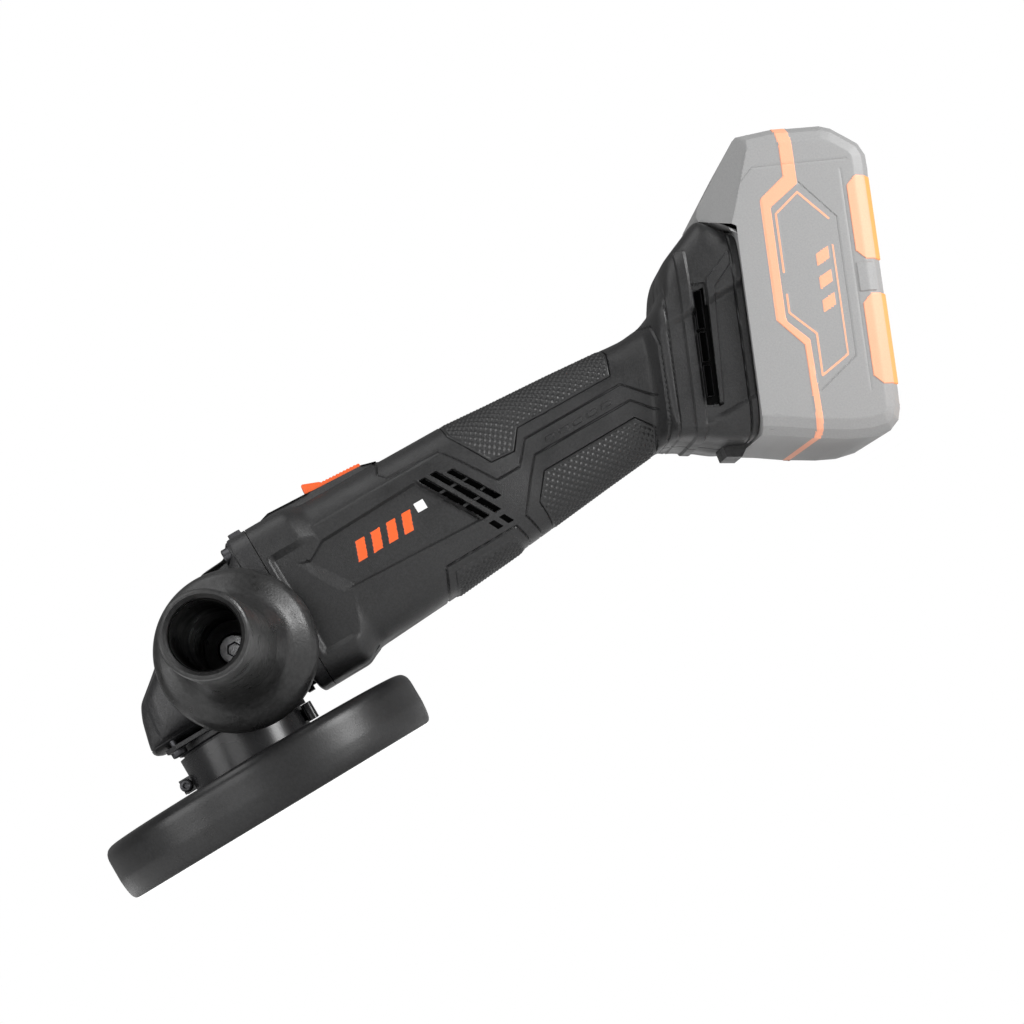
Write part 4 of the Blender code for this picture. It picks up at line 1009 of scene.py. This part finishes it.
def battery_features():
    view = seat_view
    found = [
        edge(opening(BEVEL_OUTLINE, view), -3.0, -7.0), edge(past_shoulder, 0.4),
        level(STRIPE, 0.3, 0.3, view),
        groove([(23, 60), (36.5, 44.5), (36.5, -12.5), (20.5, -25)], 0.9, 0.6, view),
        groove([(-6, -33), (60, -33)], 0.6, 0.3, view),
        level([(41.5, 12.8), (49, 12.8), (49, 25), (41.5, 25)], 0.5, 0.5, view),
        groove([(40.6, 64), (40.6, -27)], 0.5, 0.3, view),
        groove([(-1, 62), (5, 68), (44, 68)], 0.7, 0.45, view),
    ]
    found += [level(outline, 0.15, 0.2, view) for outline in BATTERY_BARS]
    return found + [(thin(line), (0.0,), lambda d: np.where(d < 0, 0.1, 0)) for line in PIPING]


def rim_grid():
    """Ends of the battery, along its outline and across its width."""
    points = [np.array(p, float) for p in OUTLINE[:-1]]
    line = []
    for here, there in zip(points, points[1:]):
        count = max(int(np.linalg.norm(there - here) / 1.0), 1)
        line += [here + (there - here) * k / count for k in range(count)]
    line = np.array(line + [points[-1]])
    share = np.linspace(1, -1, 64)
    x, z = seat(line[:, 0], line[:, 1])
    grid = np.empty((len(line), len(share), 3))
    grid[..., 0], grid[..., 2] = x[:, None], z[:, None]
    grid[..., 1] = share * np.minimum(narrowed(grid), RIM_HALF)
    return grid


def latch_frame(p):
    """Along, and out of, the battery's sloping top end."""
    b, a = seat_view(p)
    c, s = math.cos(LATCH_TURN), math.sin(LATCH_TURN)
    u, v = b - LATCH_PLACE[0], a - LATCH_PLACE[1]
    return u * c + v * s, -u * s + v * c


def battery():
    grid = battery_side_grid(0.55)
    paints = [(opening(STRIPE, seat_view), 1)] + [(opening(bar, seat_view), 1) for bar in BATTERY_BARS]
    paints += [(thin(line), 1) for line in PIPING]
    outside = beyond(opening(OUTLINE, seat_view))
    points, faces, slots = skin(grid, battery_features(), [outside], None, paints, side_bevel)

    def hatch(p):
        along, out = latch_frame(p)
        hole = np.maximum(np.abs(along) - 7.6, np.abs(p[..., 1]) - 10.6)
        return np.where((np.abs(out) < 2.5) & (p[..., 2] > 90), hole, OFF)

    def bumper_gap(p, low, high):
        b, a = seat_view(p)
        return np.where(b > 51.0, np.maximum(low - 0.3 - a, a - high - 0.3), OFF)

    gaps = [lambda p, ends=ends: bumper_gap(p, *ends) for ends in BUMPERS.values()]
    rim = rim_grid()
    rim_points, rim_faces, rim_slots = skin(rim, [], [hatch] + gaps, None, paints[:1])
    left = on_side(-1, points, faces)
    inside = inner_faces("battery_case", both_grids(grid) + [rim], 1.5)
    shell = together((points, faces), left, (rim_points, rim_faces), inside)
    make("battery_shell", *shell, "battery", "battery_plastic", "battery_case",
         slots * 2 + rim_slots + [0] * len(inside[1]), ["battery_plastic", "battery_accent"], sharp=28)
    for name, (low, high) in BUMPERS.items():
        cushion(name, low, high)
    latch()


def latch():
    """Release button: a plate with finger grooves, flush with the sloping end."""
    profile = [(7.2, -2.2), (7.2, -0.1), (6.9, 0.1)]
    for along in (4.4, 2.2, 0.0, -2.2, -4.4):
        profile += [(along + 0.45, 0.1), (along + 0.2, -0.45), (along - 0.2, -0.45), (along - 0.45, 0.1)]
    profile = np.array(profile + [(-6.9, 0.1), (-7.2, -0.1), (-7.2, -2.2)])
    c, s = math.cos(LATCH_TURN), math.sin(LATCH_TURN)
    x, z = seat(LATCH_PLACE[0] + profile[:, 0] * c - profile[:, 1] * s,
                LATCH_PLACE[1] + profile[:, 0] * s + profile[:, 1] * c)
    count = len(profile)
    points = np.concatenate([np.stack([x, np.full(count, y), z], axis=1) for y in (-10.2, 10.2)])
    index = np.arange(2 * count).reshape(2, count)
    make("battery_release", points, bands(index[:1], index[1:]) + index.tolist(), "battery_latch",
         "battery_plastic", "battery_latch", turn=True)


def cushion(name, low, high):
    """Corner guard that wraps the battery's rear edges."""
    path = smooth_line([(41.8, SIDE_HALF), (46, SIDE_HALF), (50, 35.8), (53, RIM_HALF)], 0.45, 0.5)
    back = np.stack([np.full(60, 53.0), np.linspace(31.2, -31.2, 60)], axis=1)
    path = np.concatenate([path, back, path[::-1] * [1, -1]])
    a = np.arange(low, high + 0.2, 0.5)
    grid = np.empty((len(a), len(path), 3))
    x, z = seat(path[None, :, 0], a[:, None])
    grid[..., 0], grid[..., 1], grid[..., 2] = x, path[None, :, 1], z
    grid = grid[::-1]
    corner = 4.0
    outline = [(41.9, low + corner), (41.9 + corner, low + 0.1), (60, low + 0.1), (60, high - 0.1),
               (41.9 + corner, high - 0.1), (41.9, high - corner)]
    inside = opening(outline, seat_view)
    shape = (lambda p: -0.7 + 1.05 * np.sqrt(1 - (1 - np.clip(-inside(p) / 0.6, 0, 1)) ** 2))
    points, faces, _ = skin(grid, [edge(inside, -0.6)], [beyond(inside)], shape)
    # The rear face takes a darker, deeper copy of the accent colour: painted shade for the face turned
    # away from the light.
    rear = (lambda p: 50.6 - seat_view(p)[0])
    slots = [int(rear(points[face].mean(axis=0)) < 0) for face in faces]
    make(name + "_moulded", points, faces, "battery", "battery_accent", name, slots,
         ["battery_accent", "accent_painted_shade"], sharp=40)


# ---------------------------------------------------------------- everything else

# CAD nodes shown as they are, with the radius that rounds their edges
KEPT = {
    "gear_case_metal": {"bearing_cover": 0.4},
    "guard_band": {"guard_band": 0.4, "guard_lever": 0.4},
    "battery_plastic": {"battery_cover": 0.4},
    "inner_plastic": {"lock_button": 0.4, "switch_rod": 0.3, "fan": 0.1, "air_baffle": 0.2,
                      "switch_module": 0.4, "terminal_block": 0.2},
    "bright_steel": {"handle_bolt": 0.3, "lock_spring": 0, "rotor_shaft": 0.2, "spindle_bearing": 0.3,
                     "spindle_top_bush": 0.3, "motor_front_bearing": 0.3, "motor_rear_bearing": 0.3},
    "dark_steel": {"lock_nut": 0.5, "crown_gear": 0.1, "bevel_pinion": 0.1, "rotor_magnets": 0.3,
                   "stator_core": 0.3},
    "copper": {"front_winding": 0.8, "rear_winding": 0.8},
    "aluminium": {"motor_bracket": 0.4},
    "board": {"control_board": 0.2},
    "lead_red": {"lead_red": 0},
    "lead_black": {"lead_black": 0},
    "cell_wrap": {"cell_pack": 0.4},
}


def main():
    camera()
    floor()
    light()
    housing()
    pads()
    head()
    screws()
    spindle_set()
    guard()
    side_handle()
    switch()
    battery()
    for shade, names in KEPT.items():
        for name, bevel in names.items():
            finish(name, shade, bevel)


main()
